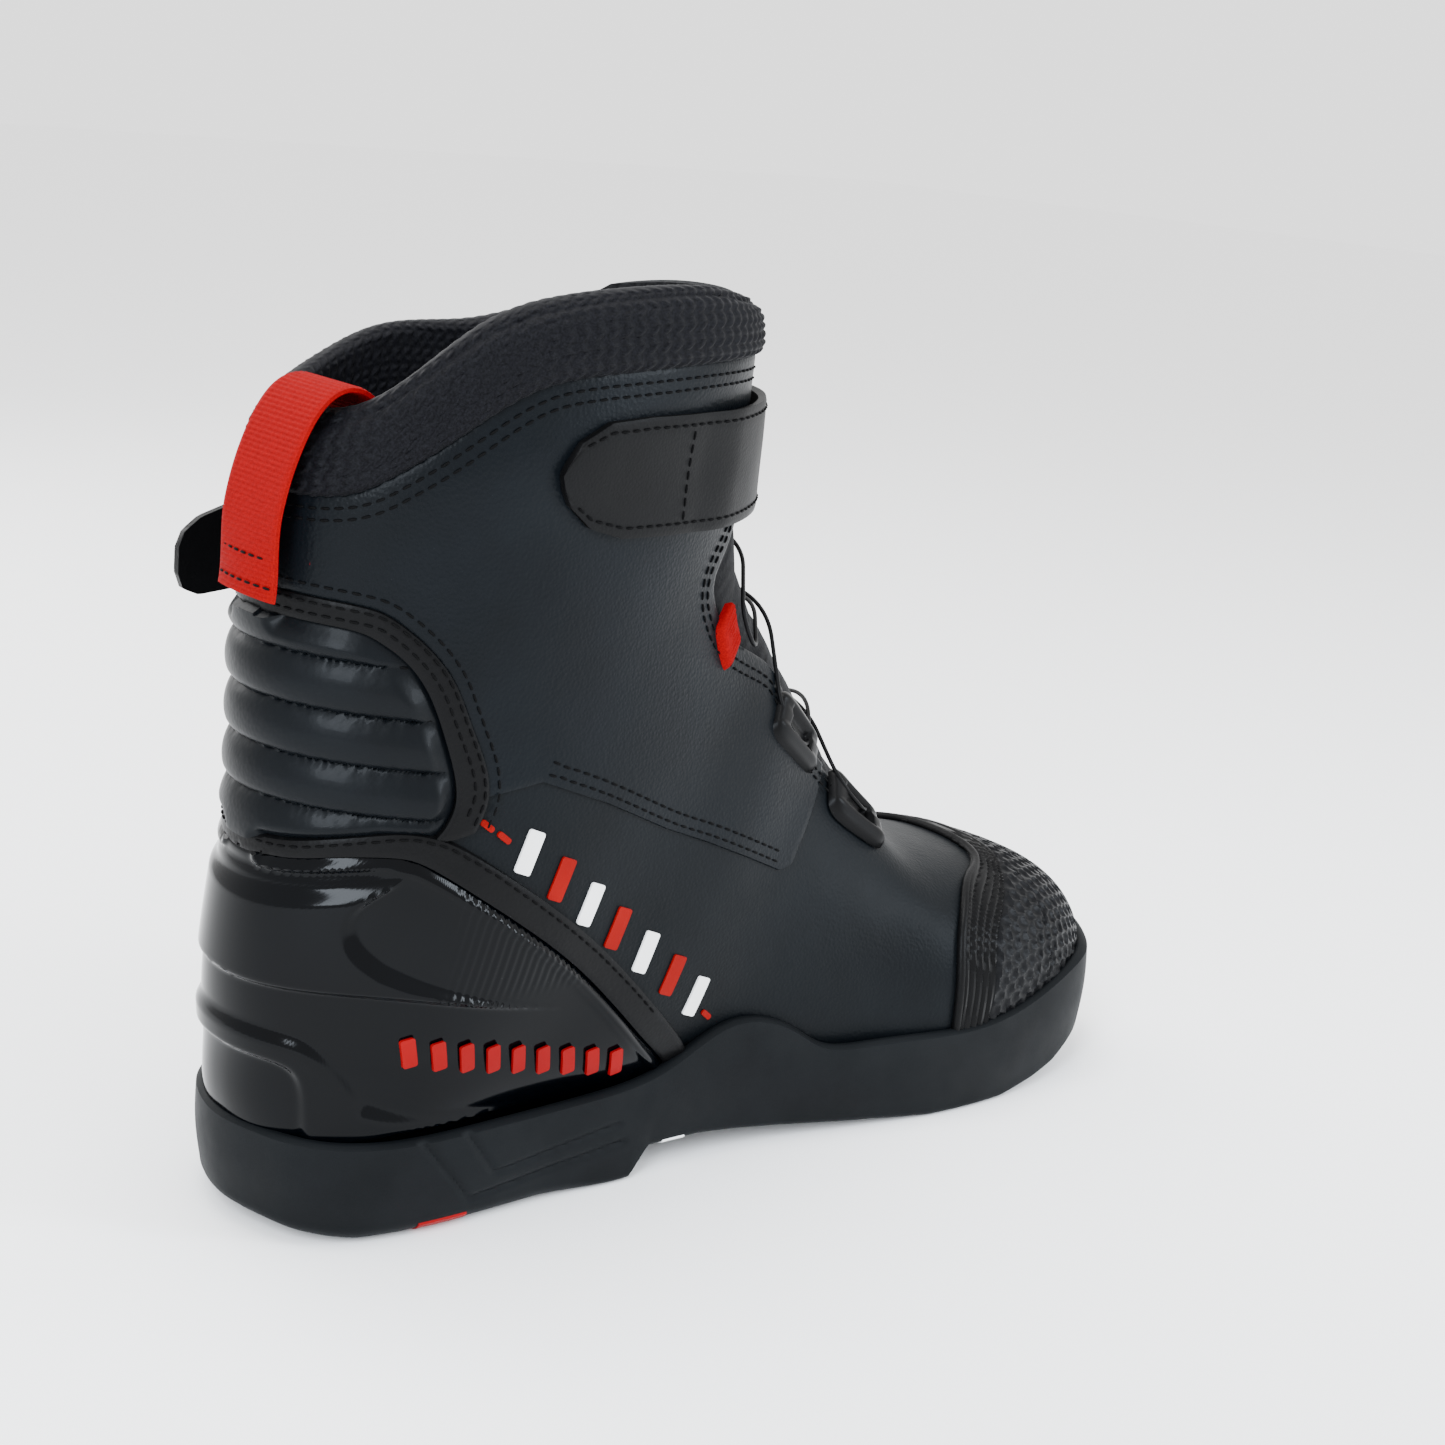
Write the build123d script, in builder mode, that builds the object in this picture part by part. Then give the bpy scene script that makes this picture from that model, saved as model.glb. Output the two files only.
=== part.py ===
from build123d import *
import math
import os

# Motorcycle riding boot, left foot. Millimetres, +Z up, heel towards +Y, toe towards -Y.
# The inner (medial) side of the foot is -X and the outer (lateral) side is +X.

# ---- driving dimensions ---------------------------------------------------------------

# Heights of each material layer above the reference skin of the foot form.
FOOTBED_SKIN = -3.3
CAVITY_SKIN = -3.0
LINING_SKIN = -0.5
STIFFENER_SKIN = 0.7
UPPER_SKIN = 2.0
OVERLAY_SKIN = 3.2
SHANK_SKIN = 3.5
MARK_SKIN = 2.6
LOOP_TAPE_SKIN = 4.1
HOOK_TAPE_SKIN = 4.5
COUNTER_SKIN = 4.5
COLLAR_SKIN = 4.5
STRAP_INNER_SKIN = 5.3
ANCHOR_SKIN = 5.7
PAD_SKIN = 6.0
GUIDE_SKIN = 7.0
STRAP_OUTER_SKIN = 7.8

REACH = 100.0            # half width of every cutting prism, wider than the boot
SECTION_POINTS = 20
MIDDLE = 0.37            # the two sides meet just beside the seam of the form

SOLE_TOP_LIMIT = 60.0
TREAD_DEPTH = 3.0
TREAD_WIDTH = 4.0
TREAD_GROOVES = (-100, -86, -72, -58, -44, -30, 52, 106, 120)
HEEL_PLUG_Y = 78.0
HEEL_PLUG_LENGTH = 44.0
HEEL_PLUG_WIDTH = 34.0
HEEL_PLUG_CORNER = 9.0
HEEL_PLUG_DEPTH = 4.0
ARCH_PLUG_Y = 30.0
ARCH_PLUG_Z = 19.0
ARCH_PLUG_LENGTH = 16.0
ARCH_PLUG_HEIGHT = 5.0
ARCH_PLUG_INNER = -37.0
ARCH_PLUG_DEPTH = 12.0
SHANK_WIDTH = 15.0
SHANK_REAR = 95.0
SHANK_FRONT = -25.0
SHANK_REACH = 40.0

CABLE_RADIUS = 0.6
CHANNEL_RADIUS = 1.2

LOOP_WIDTH = 25.0
LOOP_THICKNESS = 1.6
LOOP_X = -4.0

TONGUE_TOP = 246.0
TONGUE_LAP = 3.0
GUSSET_LAP = 10.0
THROAT_HALF_WIDTH = 32.0
THROAT_TIP = 8.0
ANKLE_Y = 86.0
ANKLE_Z = 118.0
ANKLE_PAD_RADIUS = 24.0

GUIDE_WIDTH = 15.0
GUIDE_SHORT = 20.0
GUIDE_LONG = 23.0
GUIDE_CORNER = 4.0
GUIDE_FLOOR = -4.0       # the guide's blank starts below the leather and is cut to it
GUIDE_REACH = 14.0

RIB_SEAMS = (153.0, 141.0, 128.0, 116.0)
RIB_SEAM_WIDTH = 2.2
RIB_SEAM_FLOOR = 3.2

DIAL_Y = 50.0
DIAL_Z = 138.0
DIAL_LEAN = 11.0         # degrees that the dial faces forward of straight outwards
HOUSING_RADIUS = 16.0
HOUSING_TOP = 8.0
HOUSING_FLOOR = -6.0
CHAMBER_RADIUS = 8.4
CHAMBER_FLOOR = 1.6
SPOOL_RADIUS = 8.0
SPOOL_BOTTOM = 1.9
SPOOL_TOP = 6.6
SPOOL_CORE_RADIUS = 5.5
SPOOL_FLANGE = 1.0
POST_FLATS = 6.0
POST_TOP = 14.4
KNOB_RADIUS = 15.0
KNOB_BOTTOM = 8.3
KNOB_TOP = 16.8
KNOB_WEB = 11.7
KNOB_WELL_RADIUS = 5.4
KNOB_GRIPS = 20
GRIP_RADIUS = 1.3
RUNNING_GAP = 0.2
SCREW_HEAD_RADIUS = 4.8
SCREW_HEAD_HEIGHT = 1.6
SCREW_KEY_RADIUS = 2.0
SCREW_KEY_DEPTH = 1.0
PORT_LEVEL = 4.2
PORT_RISE = 6.0
PORT_NEAR = 10.0
PORT_FAR = 24.0

# ---- the foot form --------------------------------------------------------------------

# Each section is a flat closed curve that stands on the sole line at its first point and
# reaches the instep line at its second: bottom y, z, top y, z, half width towards the
# inner and the outer side, height of the widest place, lower and upper roundness, centre x.
SECTIONS = (
    (-148, 26, -148, 35, 6, 6, 0.45, 2.4, 2.2, -8),
    (-145, 22, -145, 42, 15, 14, 0.45, 3.0, 2.2, -8),
    (-138, 19, -139, 52, 27, 24, 0.42, 3.2, 2.2, -7),
    (-122, 16, -124, 60, 40, 36, 0.40, 3.6, 2.3, -5),
    (-98, 14, -102, 66, 48, 45, 0.38, 3.8, 2.3, -2),
    (-68, 13, -71, 73, 50, 51, 0.35, 3.8, 2.2, 0),
    (-38, 13, -57, 85, 45, 50, 0.33, 3.6, 2.1, 1),
    (-5, 14, -45, 101, 40, 45, 0.33, 3.2, 2.0, 1),
    (30, 16, -33, 118, 37, 42, 0.36, 2.8, 2.0, 1),
    (65, 17, -20, 135, 38, 41, 0.40, 2.6, 2.0, 0),
    (98, 18, -9, 150, 38, 40, 0.43, 2.4, 2.0, 0),
    (129, 24, -2, 162, 39, 40, 0.45, 2.3, 2.0, 0),
    (145, 45, 1, 174, 39, 40, 0.46, 2.2, 2.0, 0),
    (146, 76, 2, 185, 38, 39, 0.48, 2.1, 2.0, 0),
    (142, 108, 3, 194, 38, 39, 0.50, 2.1, 2.0, 0),
    (141, 139, 5, 204, 39, 40, 0.50, 2.1, 2.1, 0),
    (141, 165, 7, 215, 40, 41, 0.50, 2.1, 2.2, 0),
    (140, 187, 8, 226, 42, 43, 0.50, 2.1, 2.2, 0),
    (136, 202, 10, 237, 42, 43, 0.50, 2.1, 2.2, 0),
    (134, 228, 12, 264, 42, 43, 0.50, 2.1, 2.2, 0),
)

# Side-view lines, each a row of (y, z).
TOP_LINE = (
    (150, 204), (136, 207), (124, 217), (109, 231), (91, 238), (70, 241), (47, 242),
    (29, 240), (10, 237), (-20, 233),
)
TOP_LINE_LATERAL = (
    (150, 204), (136, 206), (122, 210), (108, 214.5), (95, 219), (80, 222), (60, 223),
    (45, 226), (29, 230), (10, 232), (-20, 233),
)
LEATHER_TOP = (
    (152, 188), (136, 190), (127, 195), (118, 202), (108, 210), (99, 216), (87, 220),
    (66, 222), (45, 223), (24, 223), (-20, 222),
)
LEATHER_TOP_LATERAL = (
    (152, 188), (136, 189), (122, 191), (108, 195), (95, 200), (80, 204), (60, 207),
    (45, 210), (24, 215), (-20, 220),
)
THROAT_EDGE = (
    (15, 262), (15, 240), (14, 222), (12, 198), (16, 178), (25, 167), (25, 158),
    (14, 146), (-5, 136), (-13, 124), (-22, 112), (-34, 101), (-46, 90), (-62, 76),
    (-80, 64), (-100, 50),
)
SHAFT_LOW = (
    (101, 126), (85, 120), (65, 112), (42, 101), (27, 95), (11, 88), (-4, 81), (-10, 83),
    (-18, 92), (-30, 104),
)
PAD_ARCH = (
    (152, 167), (132, 165), (124, 162), (117, 156), (110, 147), (105, 136), (101, 126),
    (100, 117), (103, 109),
)
COUNTER_OUT = (
    (155, 104), (143, 105), (135, 107), (124, 109), (117, 109), (110, 107), (100, 101),
    (82, 88), (60, 70), (40, 50), (24, 32), (20, 15),
)
COUNTER_IN = (
    (155, 101), (143, 102), (133, 104), (122, 105), (113, 102), (100, 94), (81, 80),
    (63, 64), (44, 45), (29, 29), (25, 15),
)
VAMP_LINE = ((-13, 126), (-14, 110), (-9, 88), (-2, 60), (8, 35), (12, 5))
INSOLE_LINE = (
    (-152, 27), (-138, 21), (-122, 18), (-98, 16), (-68, 15), (-38, 15), (-5, 16),
    (30, 18), (65, 19), (98, 20), (126, 25), (152, 34),
)
FOOTBED_LINE = (
    (-152, 32), (-138, 27), (-122, 24), (-98, 22), (-68, 20), (-38, 21), (-5, 23),
    (30, 24), (65, 24), (98, 25), (126, 30), (152, 42),
)
TOE_BAND_REAR = ((-108, 80), (-103, 68), (-86, 65), (-73, 57), (-68, 41), (-69, 5))
TOE_BAND_FRONT = ((-122, 80), (-118, 68), (-104, 63), (-89, 55), (-82, 42), (-80, 5))
STRAP_TOP = ((-20, 212), (30, 212), (62, 205), (95, 191), (118, 177), (138, 171))
STRAP_BOTTOM = ((138, 151), (118, 153), (95, 159), (62, 171), (30, 180), (-20, 180))
ANCHOR_OUTLINE = (
    (37.5, 211), (65, 211), (78, 210), (86, 205), (90, 197), (87, 190), (80, 184),
    (70, 181), (37.5, 180),
)

# Plan view of the sole: y, half width towards the inner and the outer side.
SOLE_PLAN = (
    (147, 14, 14), (140, 27, 26), (122, 37, 38), (90, 40, 42), (60, 40, 44), (30, 40, 46),
    (10, 41, 47), (-10, 44, 50), (-40, 50, 54), (-70, 55, 56), (-100, 55, 51),
    (-124, 51, 39), (-140, 39, 25),
)
SOLE_HEEL_END = 150.0
SOLE_TOE_END = (-8, -153)
SOLE_TOP = (
    (156, 30), (120, 28), (90, 28), (60, 28), (34, 31), (12, 40), (-8, 36), (-22, 28),
    (-45, 27), (-80, 27), (-108, 33), (-130, 39), (-160, 42),
)
SOLE_BOTTOM = (
    (-160, 18), (-148, 12), (-128, 6), (-105, 1.2), (-85, 0), (8, 0), (18, 6), (40, 8),
    (44, 0), (126, 0), (140, 4), (156, 14),
)


def section_points(row, skin):
    """Points of one closed section, in its own plane, at a height above the skin."""
    y0, z0, y1, z1, inner, outer, waist, low_round, high_round, centre = row
    height = math.hypot(y1 - y0, z1 - z0)
    points = []
    for step in range(SECTION_POINTS):
        angle = 2 * math.pi * step / SECTION_POINTS - math.pi / 2
        power = 2 / (high_round if math.sin(angle) >= 0 else low_round)
        rise = math.copysign(abs(math.sin(angle)) ** power, math.sin(angle))
        width = math.copysign(abs(math.cos(angle)) ** power, math.cos(angle))
        half = (1 - waist) * height + skin if rise >= 0 else waist * height + skin
        side = inner + skin if width < 0 else outer + skin
        points.append((centre + width * side, waist * height + rise * half))
    return points


def section_curve(row, skin):
    """Closed smooth curve of one section, evenly stepped so that the loft stays light."""
    points = [Vector(x, y) for x, y in section_points(row, skin)]
    steps = [step / SECTION_POINTS for step in range(SECTION_POINTS + 1)]
    return Edge.make_spline(points, periodic=True, parameters=steps)


def section_plane(row, skin):
    """Plane of one section: its x is the row frame's x, its y runs up the section."""
    y0, z0, y1, z1 = row[:4]
    ahead = skin if row is SECTIONS[0] else 0.0
    return Plane(origin=(0, y0 - ahead, z0), x_dir=(1, 0, 0), z_dir=(0, z0 - z1, y1 - y0))


def foot_form(skin):
    """The whole foot and shank form, solid, grown by one skin height."""
    with BuildPart() as form:
        for row in SECTIONS:
            with BuildSketch(section_plane(row, skin)):
                with BuildLine():
                    add(section_curve(row, skin))
                make_face()
        loft()
    return form.part


def side_prism(line, corners, sides=(-REACH, REACH)):
    """Prism along X whose side-view outline is a smooth line closed through corners."""
    near, far = sides
    with BuildPart() as prism:
        with BuildSketch(Plane.YZ.offset(near)):
            with BuildLine():
                Spline(*line)
                Polyline(line[-1], *corners, line[0])
            make_face()
        extrude(amount=far - near)
    return prism.part


def facet_prism(outline, sides=(-REACH, REACH)):
    """Prism along X with a straight-edged side-view outline."""
    near, far = sides
    with BuildPart() as prism:
        with BuildSketch(Plane.YZ.offset(near)):
            with BuildLine():
                Polyline(*outline, close=True)
            make_face()
        extrude(amount=far - near)
    return prism.part


def skin_point(station, angle, height):
    """Point on the form. Angle runs from the instep, minus inner side, plus outer side."""
    low = min(int(station), len(SECTIONS) - 2)
    share = station - low
    row = [a + (b - a) * share for a, b in zip(SECTIONS[low], SECTIONS[low + 1])]
    y0, z0, y1, z1, inner, outer, waist, low_round, high_round, centre = row
    length = math.hypot(y1 - y0, z1 - z0)
    turn = math.radians(abs(angle))
    rise = math.cos(turn) ** (2 / high_round)
    width = math.sin(turn) ** (2 / high_round)
    side = -(inner + height) if angle < 0 else outer + height
    along = waist * length + rise * ((1 - waist) * length + height)
    y = y0 + (y1 - y0) / length * along
    z = z0 + (z1 - z0) / length * along
    return Vector(centre + width * side, y, z)


def skin_plane(station, angle, height):
    """Plane on the form: z outwards, x up the instep."""
    here = skin_point(station, angle, height)
    up = skin_point(station + 0.2, angle, height) - here
    around = skin_point(station, angle + 2, height) - here
    outward = around.cross(up)
    return Plane(origin=here, x_dir=up, z_dir=outward)


INNER_SIDE = (-REACH, MIDDLE)
OUTER_SIDE = (MIDDLE, REACH)
FAR_BACK = 200.0
FAR_FRONT = -200.0
FAR_UP = 300.0
FAR_DOWN = -50.0

FORMS = {
    skin: foot_form(skin)
    for skin in (
        FOOTBED_SKIN, CAVITY_SKIN, LINING_SKIN, STIFFENER_SKIN, UPPER_SKIN, MARK_SKIN,
        OVERLAY_SKIN, SHANK_SKIN, LOOP_TAPE_SKIN, HOOK_TAPE_SKIN, COUNTER_SKIN,
        STRAP_INNER_SKIN, ANCHOR_SKIN, PAD_SKIN, GUIDE_SKIN, STRAP_OUTER_SKIN,
    )
}


def layer(inner, outer):
    """Shell of the form between two skin heights."""
    with BuildPart() as shell:
        add(FORMS[outer])
        add(FORMS[inner], mode=Mode.SUBTRACT)
    return shell.part


def below_rim(inner_line, outer_line):
    """Everything below a rim whose line differs from one side of the boot to the other."""
    with BuildPart() as space:
        for line, sides in ((inner_line, INNER_SIDE), (outer_line, OUTER_SIDE)):
            corners = (
                (FAR_FRONT, line[-1][1]), (FAR_FRONT, FAR_DOWN),
                (FAR_BACK, FAR_DOWN), (FAR_BACK, line[0][1]),
            )
            add(side_prism(line, corners, sides))
    return space.part


below_top = below_rim(TOP_LINE, TOP_LINE_LATERAL)
below_leather = below_rim(LEATHER_TOP, LEATHER_TOP_LATERAL)
below_insole = side_prism(INSOLE_LINE, ((FAR_BACK, 34), (FAR_BACK, FAR_DOWN),
                                        (FAR_FRONT, FAR_DOWN), (FAR_FRONT, 27)))
below_footbed = side_prism(FOOTBED_LINE, ((FAR_BACK, 42), (FAR_BACK, FAR_DOWN),
                                          (FAR_FRONT, FAR_DOWN), (FAR_FRONT, 32)))
ahead_of_throat = side_prism(THROAT_EDGE, ((FAR_FRONT, 50), (FAR_FRONT, 262)))
ahead_of_vamp = side_prism(VAMP_LINE, ((12, FAR_DOWN), (FAR_FRONT, FAR_DOWN),
                                       (FAR_FRONT, FAR_UP), (-13, FAR_UP)))

THROAT_OUTLINE = ((-5, 0), (-26, -5), (-42, -9), (-62, -15), (-84, -20))


def throat_prism(margin):
    """Vertical prism over the lacing gap, wider by a margin on each side."""
    wide = THROAT_HALF_WIDTH + margin
    right = [(wide + fall, y) for y, fall in THROAT_OUTLINE]
    left = [(-x, y) for x, y in reversed(right)]
    tip = (0, THROAT_OUTLINE[-1][0] - THROAT_TIP - margin)
    with BuildPart() as prism:
        with BuildSketch():
            with BuildLine():
                Polyline(left[-1], (-wide, 60), (wide, 60), right[0])
                Spline(*right, tip, *left)
            make_face()
        extrude(amount=FAR_UP)
    return prism.part


def throat_gap(margin):
    """The lacing gap in the front of the boot, as a cutting solid."""
    shifted = [(y + margin, z - margin / 2) for y, z in THROAT_EDGE]
    ahead = side_prism(shifted, ((FAR_FRONT, shifted[-1][1]), (FAR_FRONT, shifted[0][1])))
    with BuildPart() as gap:
        add(throat_prism(margin))
        add(ahead, mode=Mode.INTERSECT)
    return gap.part


lacing_gap = throat_gap(0)
tongue_gap = throat_gap(TONGUE_LAP)
gusset_gap = throat_gap(GUSSET_LAP)

lining_layer = layer(CAVITY_SKIN, LINING_SKIN)
upper_layer = layer(LINING_SKIN, UPPER_SKIN)
stiffener_layer = layer(LINING_SKIN, STIFFENER_SKIN)
overlay_layer = layer(UPPER_SKIN, OVERLAY_SKIN)

# ---- sole -----------------------------------------------------------------------------

inner_edge = [(-inner, y) for y, inner, outer in SOLE_PLAN]
outer_edge = [(outer, y) for y, inner, outer in reversed(SOLE_PLAN)]
sole_side = side_prism(SOLE_TOP, ((-160, 0), (156, 0)))
sole_profile = facet_prism(SOLE_BOTTOM + ((156, SOLE_TOP_LIMIT), (-160, SOLE_TOP_LIMIT)))

with BuildPart() as sole_block:
    with BuildSketch():
        with BuildLine():
            Spline((0, SOLE_HEEL_END), *inner_edge, SOLE_TOE_END, *outer_edge, periodic=True)
        make_face()
    extrude(amount=SOLE_TOP_LIMIT)
    add(sole_side, mode=Mode.INTERSECT)
    add(sole_profile, mode=Mode.INTERSECT)

SHANK_LENGTH = SHANK_REAR - SHANK_FRONT
shank_layer = layer(UPPER_SKIN, SHANK_SKIN)
with BuildPart() as shank:
    with BuildSketch(Plane.XY):
        with Locations((0, (SHANK_REAR + SHANK_FRONT) / 2)):
            RectangleRounded(SHANK_WIDTH, SHANK_LENGTH, SHANK_WIDTH / 2 - 0.1)
    extrude(amount=SHANK_REACH)
    add(shank_layer, mode=Mode.INTERSECT)

with BuildPart() as heel_tread_insert:
    with BuildSketch(Plane.XY):
        with Locations((0, HEEL_PLUG_Y)):
            RectangleRounded(HEEL_PLUG_WIDTH, HEEL_PLUG_LENGTH, HEEL_PLUG_CORNER)
    extrude(amount=HEEL_PLUG_DEPTH)

with BuildPart() as arch_insert:
    with BuildSketch(Plane.YZ.offset(ARCH_PLUG_INNER)):
        with Locations((ARCH_PLUG_Y, ARCH_PLUG_Z)):
            SlotOverall(ARCH_PLUG_LENGTH, ARCH_PLUG_HEIGHT)
    extrude(amount=-ARCH_PLUG_DEPTH)
    add(sole_block.part, mode=Mode.INTERSECT)
    add(FORMS[UPPER_SKIN], mode=Mode.SUBTRACT)

with BuildPart() as outsole:
    add(sole_block.part)
    add(FORMS[UPPER_SKIN], mode=Mode.SUBTRACT)
    add(shank.part, mode=Mode.SUBTRACT)
    add(heel_tread_insert.part, mode=Mode.SUBTRACT)
    add(arch_insert.part, mode=Mode.SUBTRACT)
    with BuildSketch(Plane.XY):
        for y in TREAD_GROOVES:
            with Locations((0, y)):
                Rectangle(2 * REACH, TREAD_WIDTH)
    extrude(amount=TREAD_DEPTH, mode=Mode.SUBTRACT)

# ---- inside the boot ------------------------------------------------------------------

with BuildPart() as insole_board:
    add(upper_layer)
    add(below_insole, mode=Mode.INTERSECT)

with BuildPart() as footbed:
    add(FORMS[FOOTBED_SKIN])
    add(below_footbed, mode=Mode.INTERSECT)

with BuildPart() as lining:
    add(lining_layer)
    add(below_top, mode=Mode.INTERSECT)
    add(gusset_gap, mode=Mode.SUBTRACT)

with BuildPart() as tongue:
    add(lining_layer)
    add(tongue_gap, mode=Mode.INTERSECT)
    with BuildSketch(Plane.XY.offset(TONGUE_TOP)):
        Rectangle(4 * REACH, 4 * REACH)
    extrude(amount=REACH, mode=Mode.SUBTRACT)

with BuildPart() as tongue_gusset:
    add(lining_layer)
    add(gusset_gap, mode=Mode.INTERSECT)
    add(tongue_gap, mode=Mode.SUBTRACT)
    add(below_leather, mode=Mode.INTERSECT)

HEEL_CUP = ((85, 18), (88, 60), (104, 88), (150, 92), (152, 18))
TOE_CUP = ((-152, 18), (-152, 70), (-100, 70), (-92, 50), (-92, 12))
with BuildPart() as heel_stiffener:
    add(stiffener_layer)
    add(facet_prism(HEEL_CUP), mode=Mode.INTERSECT)
    add(below_insole, mode=Mode.SUBTRACT)

with BuildPart() as toe_puff:
    add(stiffener_layer)
    add(facet_prism(TOE_CUP), mode=Mode.INTERSECT)
    add(below_insole, mode=Mode.SUBTRACT)


def ankle_pad(sides):
    """Foam disc over the ankle bone, between lining and leather."""
    near, far = sides
    with BuildPart() as pad:
        with BuildSketch(Plane.YZ.offset(near)):
            with Locations((ANKLE_Y, ANKLE_Z)):
                Circle(ANKLE_PAD_RADIUS)
        extrude(amount=far - near)
        add(stiffener_layer, mode=Mode.INTERSECT)
    return pad


ankle_pad_medial = ankle_pad(INNER_SIDE)
ankle_pad_lateral = ankle_pad(OUTER_SIDE)

# ---- upper ----------------------------------------------------------------------------

with BuildPart() as vamp:
    add(upper_layer)
    add(ahead_of_vamp, mode=Mode.INTERSECT)
    add(below_leather, mode=Mode.INTERSECT)
    add(lacing_gap, mode=Mode.SUBTRACT)
    add(below_insole, mode=Mode.SUBTRACT)
    add(toe_puff.part, mode=Mode.SUBTRACT)


def quarter(sides, pad):
    """One side of the leather upper, behind the vamp."""
    near, far = sides
    with BuildPart() as panel:
        add(upper_layer)
        add(ahead_of_vamp, mode=Mode.SUBTRACT)
        add(below_leather, mode=Mode.INTERSECT)
        with BuildSketch(Plane.YZ.offset(near)):
            Rectangle(4 * REACH, 8 * REACH)
        extrude(amount=far - near, mode=Mode.INTERSECT)
        add(lacing_gap, mode=Mode.SUBTRACT)
        add(below_insole, mode=Mode.SUBTRACT)
        add(heel_stiffener.part, mode=Mode.SUBTRACT)
        add(pad.part, mode=Mode.SUBTRACT)
    return panel


quarter_medial = quarter(INNER_SIDE, ankle_pad_medial)
quarter_lateral = quarter(OUTER_SIDE, ankle_pad_lateral)

collar_layer = layer(LINING_SKIN, COLLAR_SKIN)


def collar(sides):
    """One half of the padded collar, above the leather."""
    near, far = sides
    with BuildPart() as pad:
        add(collar_layer)
        add(below_top, mode=Mode.INTERSECT)
        add(below_leather, mode=Mode.SUBTRACT)
        with BuildSketch(Plane.YZ.offset(near)):
            Rectangle(4 * REACH, 8 * REACH)
        extrude(amount=far - near, mode=Mode.INTERSECT)
        add(lacing_gap, mode=Mode.SUBTRACT)
    return pad


collar_medial = collar(INNER_SIDE)
collar_lateral = collar(OUTER_SIDE)

SHAFT_OUTLINE = (
    ((152, 167),) + PAD_ARCH[1:7] + SHAFT_LOW[1:] + ((-30, FAR_UP), (152, FAR_UP))
)
PAD_OUTLINE = PAD_ARCH + ((110, 107), (117, 109), (124, 109), (135, 107), (152, 104))


def shaft_panel(sides):
    """One of the two overlay panels that wrap the ankle."""
    with BuildPart() as panel:
        add(overlay_layer)
        add(facet_prism(SHAFT_OUTLINE, sides), mode=Mode.INTERSECT)
        add(below_leather, mode=Mode.INTERSECT)
        add(lacing_gap, mode=Mode.SUBTRACT)
    return panel


shaft_panel_medial = shaft_panel(INNER_SIDE)
shaft_panel_lateral = shaft_panel(OUTER_SIDE)

pad_layer = layer(UPPER_SKIN, PAD_SKIN)
seam_layer = layer(RIB_SEAM_FLOOR, STRAP_OUTER_SKIN)
with BuildPart() as rib_seams:
    for height in RIB_SEAMS:
        with BuildSketch(Plane.XY.offset(height - RIB_SEAM_WIDTH / 2)):
            Rectangle(4 * REACH, 4 * REACH)
        extrude(amount=RIB_SEAM_WIDTH)
    add(seam_layer, mode=Mode.INTERSECT)

with BuildPart() as rear_rib_pad:
    add(pad_layer)
    add(facet_prism(PAD_OUTLINE), mode=Mode.INTERSECT)
    add(rib_seams.part, mode=Mode.SUBTRACT)

behind_counter_in = side_prism(COUNTER_IN, ((25, FAR_DOWN), (155, FAR_DOWN)))
behind_counter_out = side_prism(COUNTER_OUT, ((20, FAR_DOWN), (155, FAR_DOWN)))
counter_layer = layer(UPPER_SKIN, COUNTER_SKIN)

with BuildPart() as heel_counter:
    add(counter_layer)
    add(behind_counter_in, mode=Mode.INTERSECT)
    add(sole_block.part, mode=Mode.SUBTRACT)

with BuildPart() as counter_binding:
    add(overlay_layer)
    add(behind_counter_out, mode=Mode.INTERSECT)
    add(behind_counter_in, mode=Mode.SUBTRACT)
    add(sole_block.part, mode=Mode.SUBTRACT)
    add(rear_rib_pad.part, mode=Mode.SUBTRACT)

ahead_of_band = side_prism(
    TOE_BAND_REAR, ((-69, FAR_DOWN), (FAR_FRONT, FAR_DOWN), (FAR_FRONT, 80))
)
ahead_of_cap = side_prism(
    TOE_BAND_FRONT, ((-80, FAR_DOWN), (FAR_FRONT, FAR_DOWN), (FAR_FRONT, 80))
)

with BuildPart() as toe_cap:
    add(overlay_layer)
    add(ahead_of_cap, mode=Mode.INTERSECT)
    add(sole_block.part, mode=Mode.SUBTRACT)

with BuildPart() as toe_rib_band:
    add(counter_layer)
    add(ahead_of_band, mode=Mode.INTERSECT)
    add(ahead_of_cap, mode=Mode.SUBTRACT)
    add(sole_block.part, mode=Mode.SUBTRACT)

# ---- generic marks --------------------------------------------------------------------

BAND_BAR = (11.5, 4.8)
BAND_LEAN = 112.0
BAND_START = (87.6, 101.8)
BAND_STEP = (-10.4, -8.6)
BAND_BARS = 7
BAND_DASH = (4.2, 1.6)
BAND_DASH_LEAN = 40.0
BAND_DASHES = ((99.6, 109.8), (95.0, 106.4), (20, 43.4))
COUNTER_BAR = (8.5, 3.6)
COUNTER_LEAN = 76.0
COUNTER_START = (117, 52)
COUNTER_STEP = (-8.1, -1.9)
COUNTER_BARS = 9
MARK_CORNER = 0.7

mark_layer = layer(UPPER_SKIN, MARK_SKIN)
raised_mark_layer = layer(COUNTER_SKIN, STRAP_INNER_SKIN)


def row_of_marks(start, step, count, size, lean):
    """Evenly spaced bars: place, size and lean of each."""
    places = [(start[0] + step[0] * k, start[1] + step[1] * k) for k in range(count)]
    return [(place, size, lean) for place in places]


def slanted_marks(bars, shell):
    """Short slanted bars on the inner side of the boot."""
    with BuildPart() as marks:
        with BuildSketch(Plane.YZ.offset(-REACH)):
            for place, size, lean in bars:
                with Locations(Location((place[0], place[1]), lean)):
                    RectangleRounded(*size, MARK_CORNER)
        extrude(amount=REACH)
        add(shell, mode=Mode.INTERSECT)
        for neighbour in (outsole, rear_rib_pad, counter_binding):
            add(neighbour.part, mode=Mode.SUBTRACT)
    return marks


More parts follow.
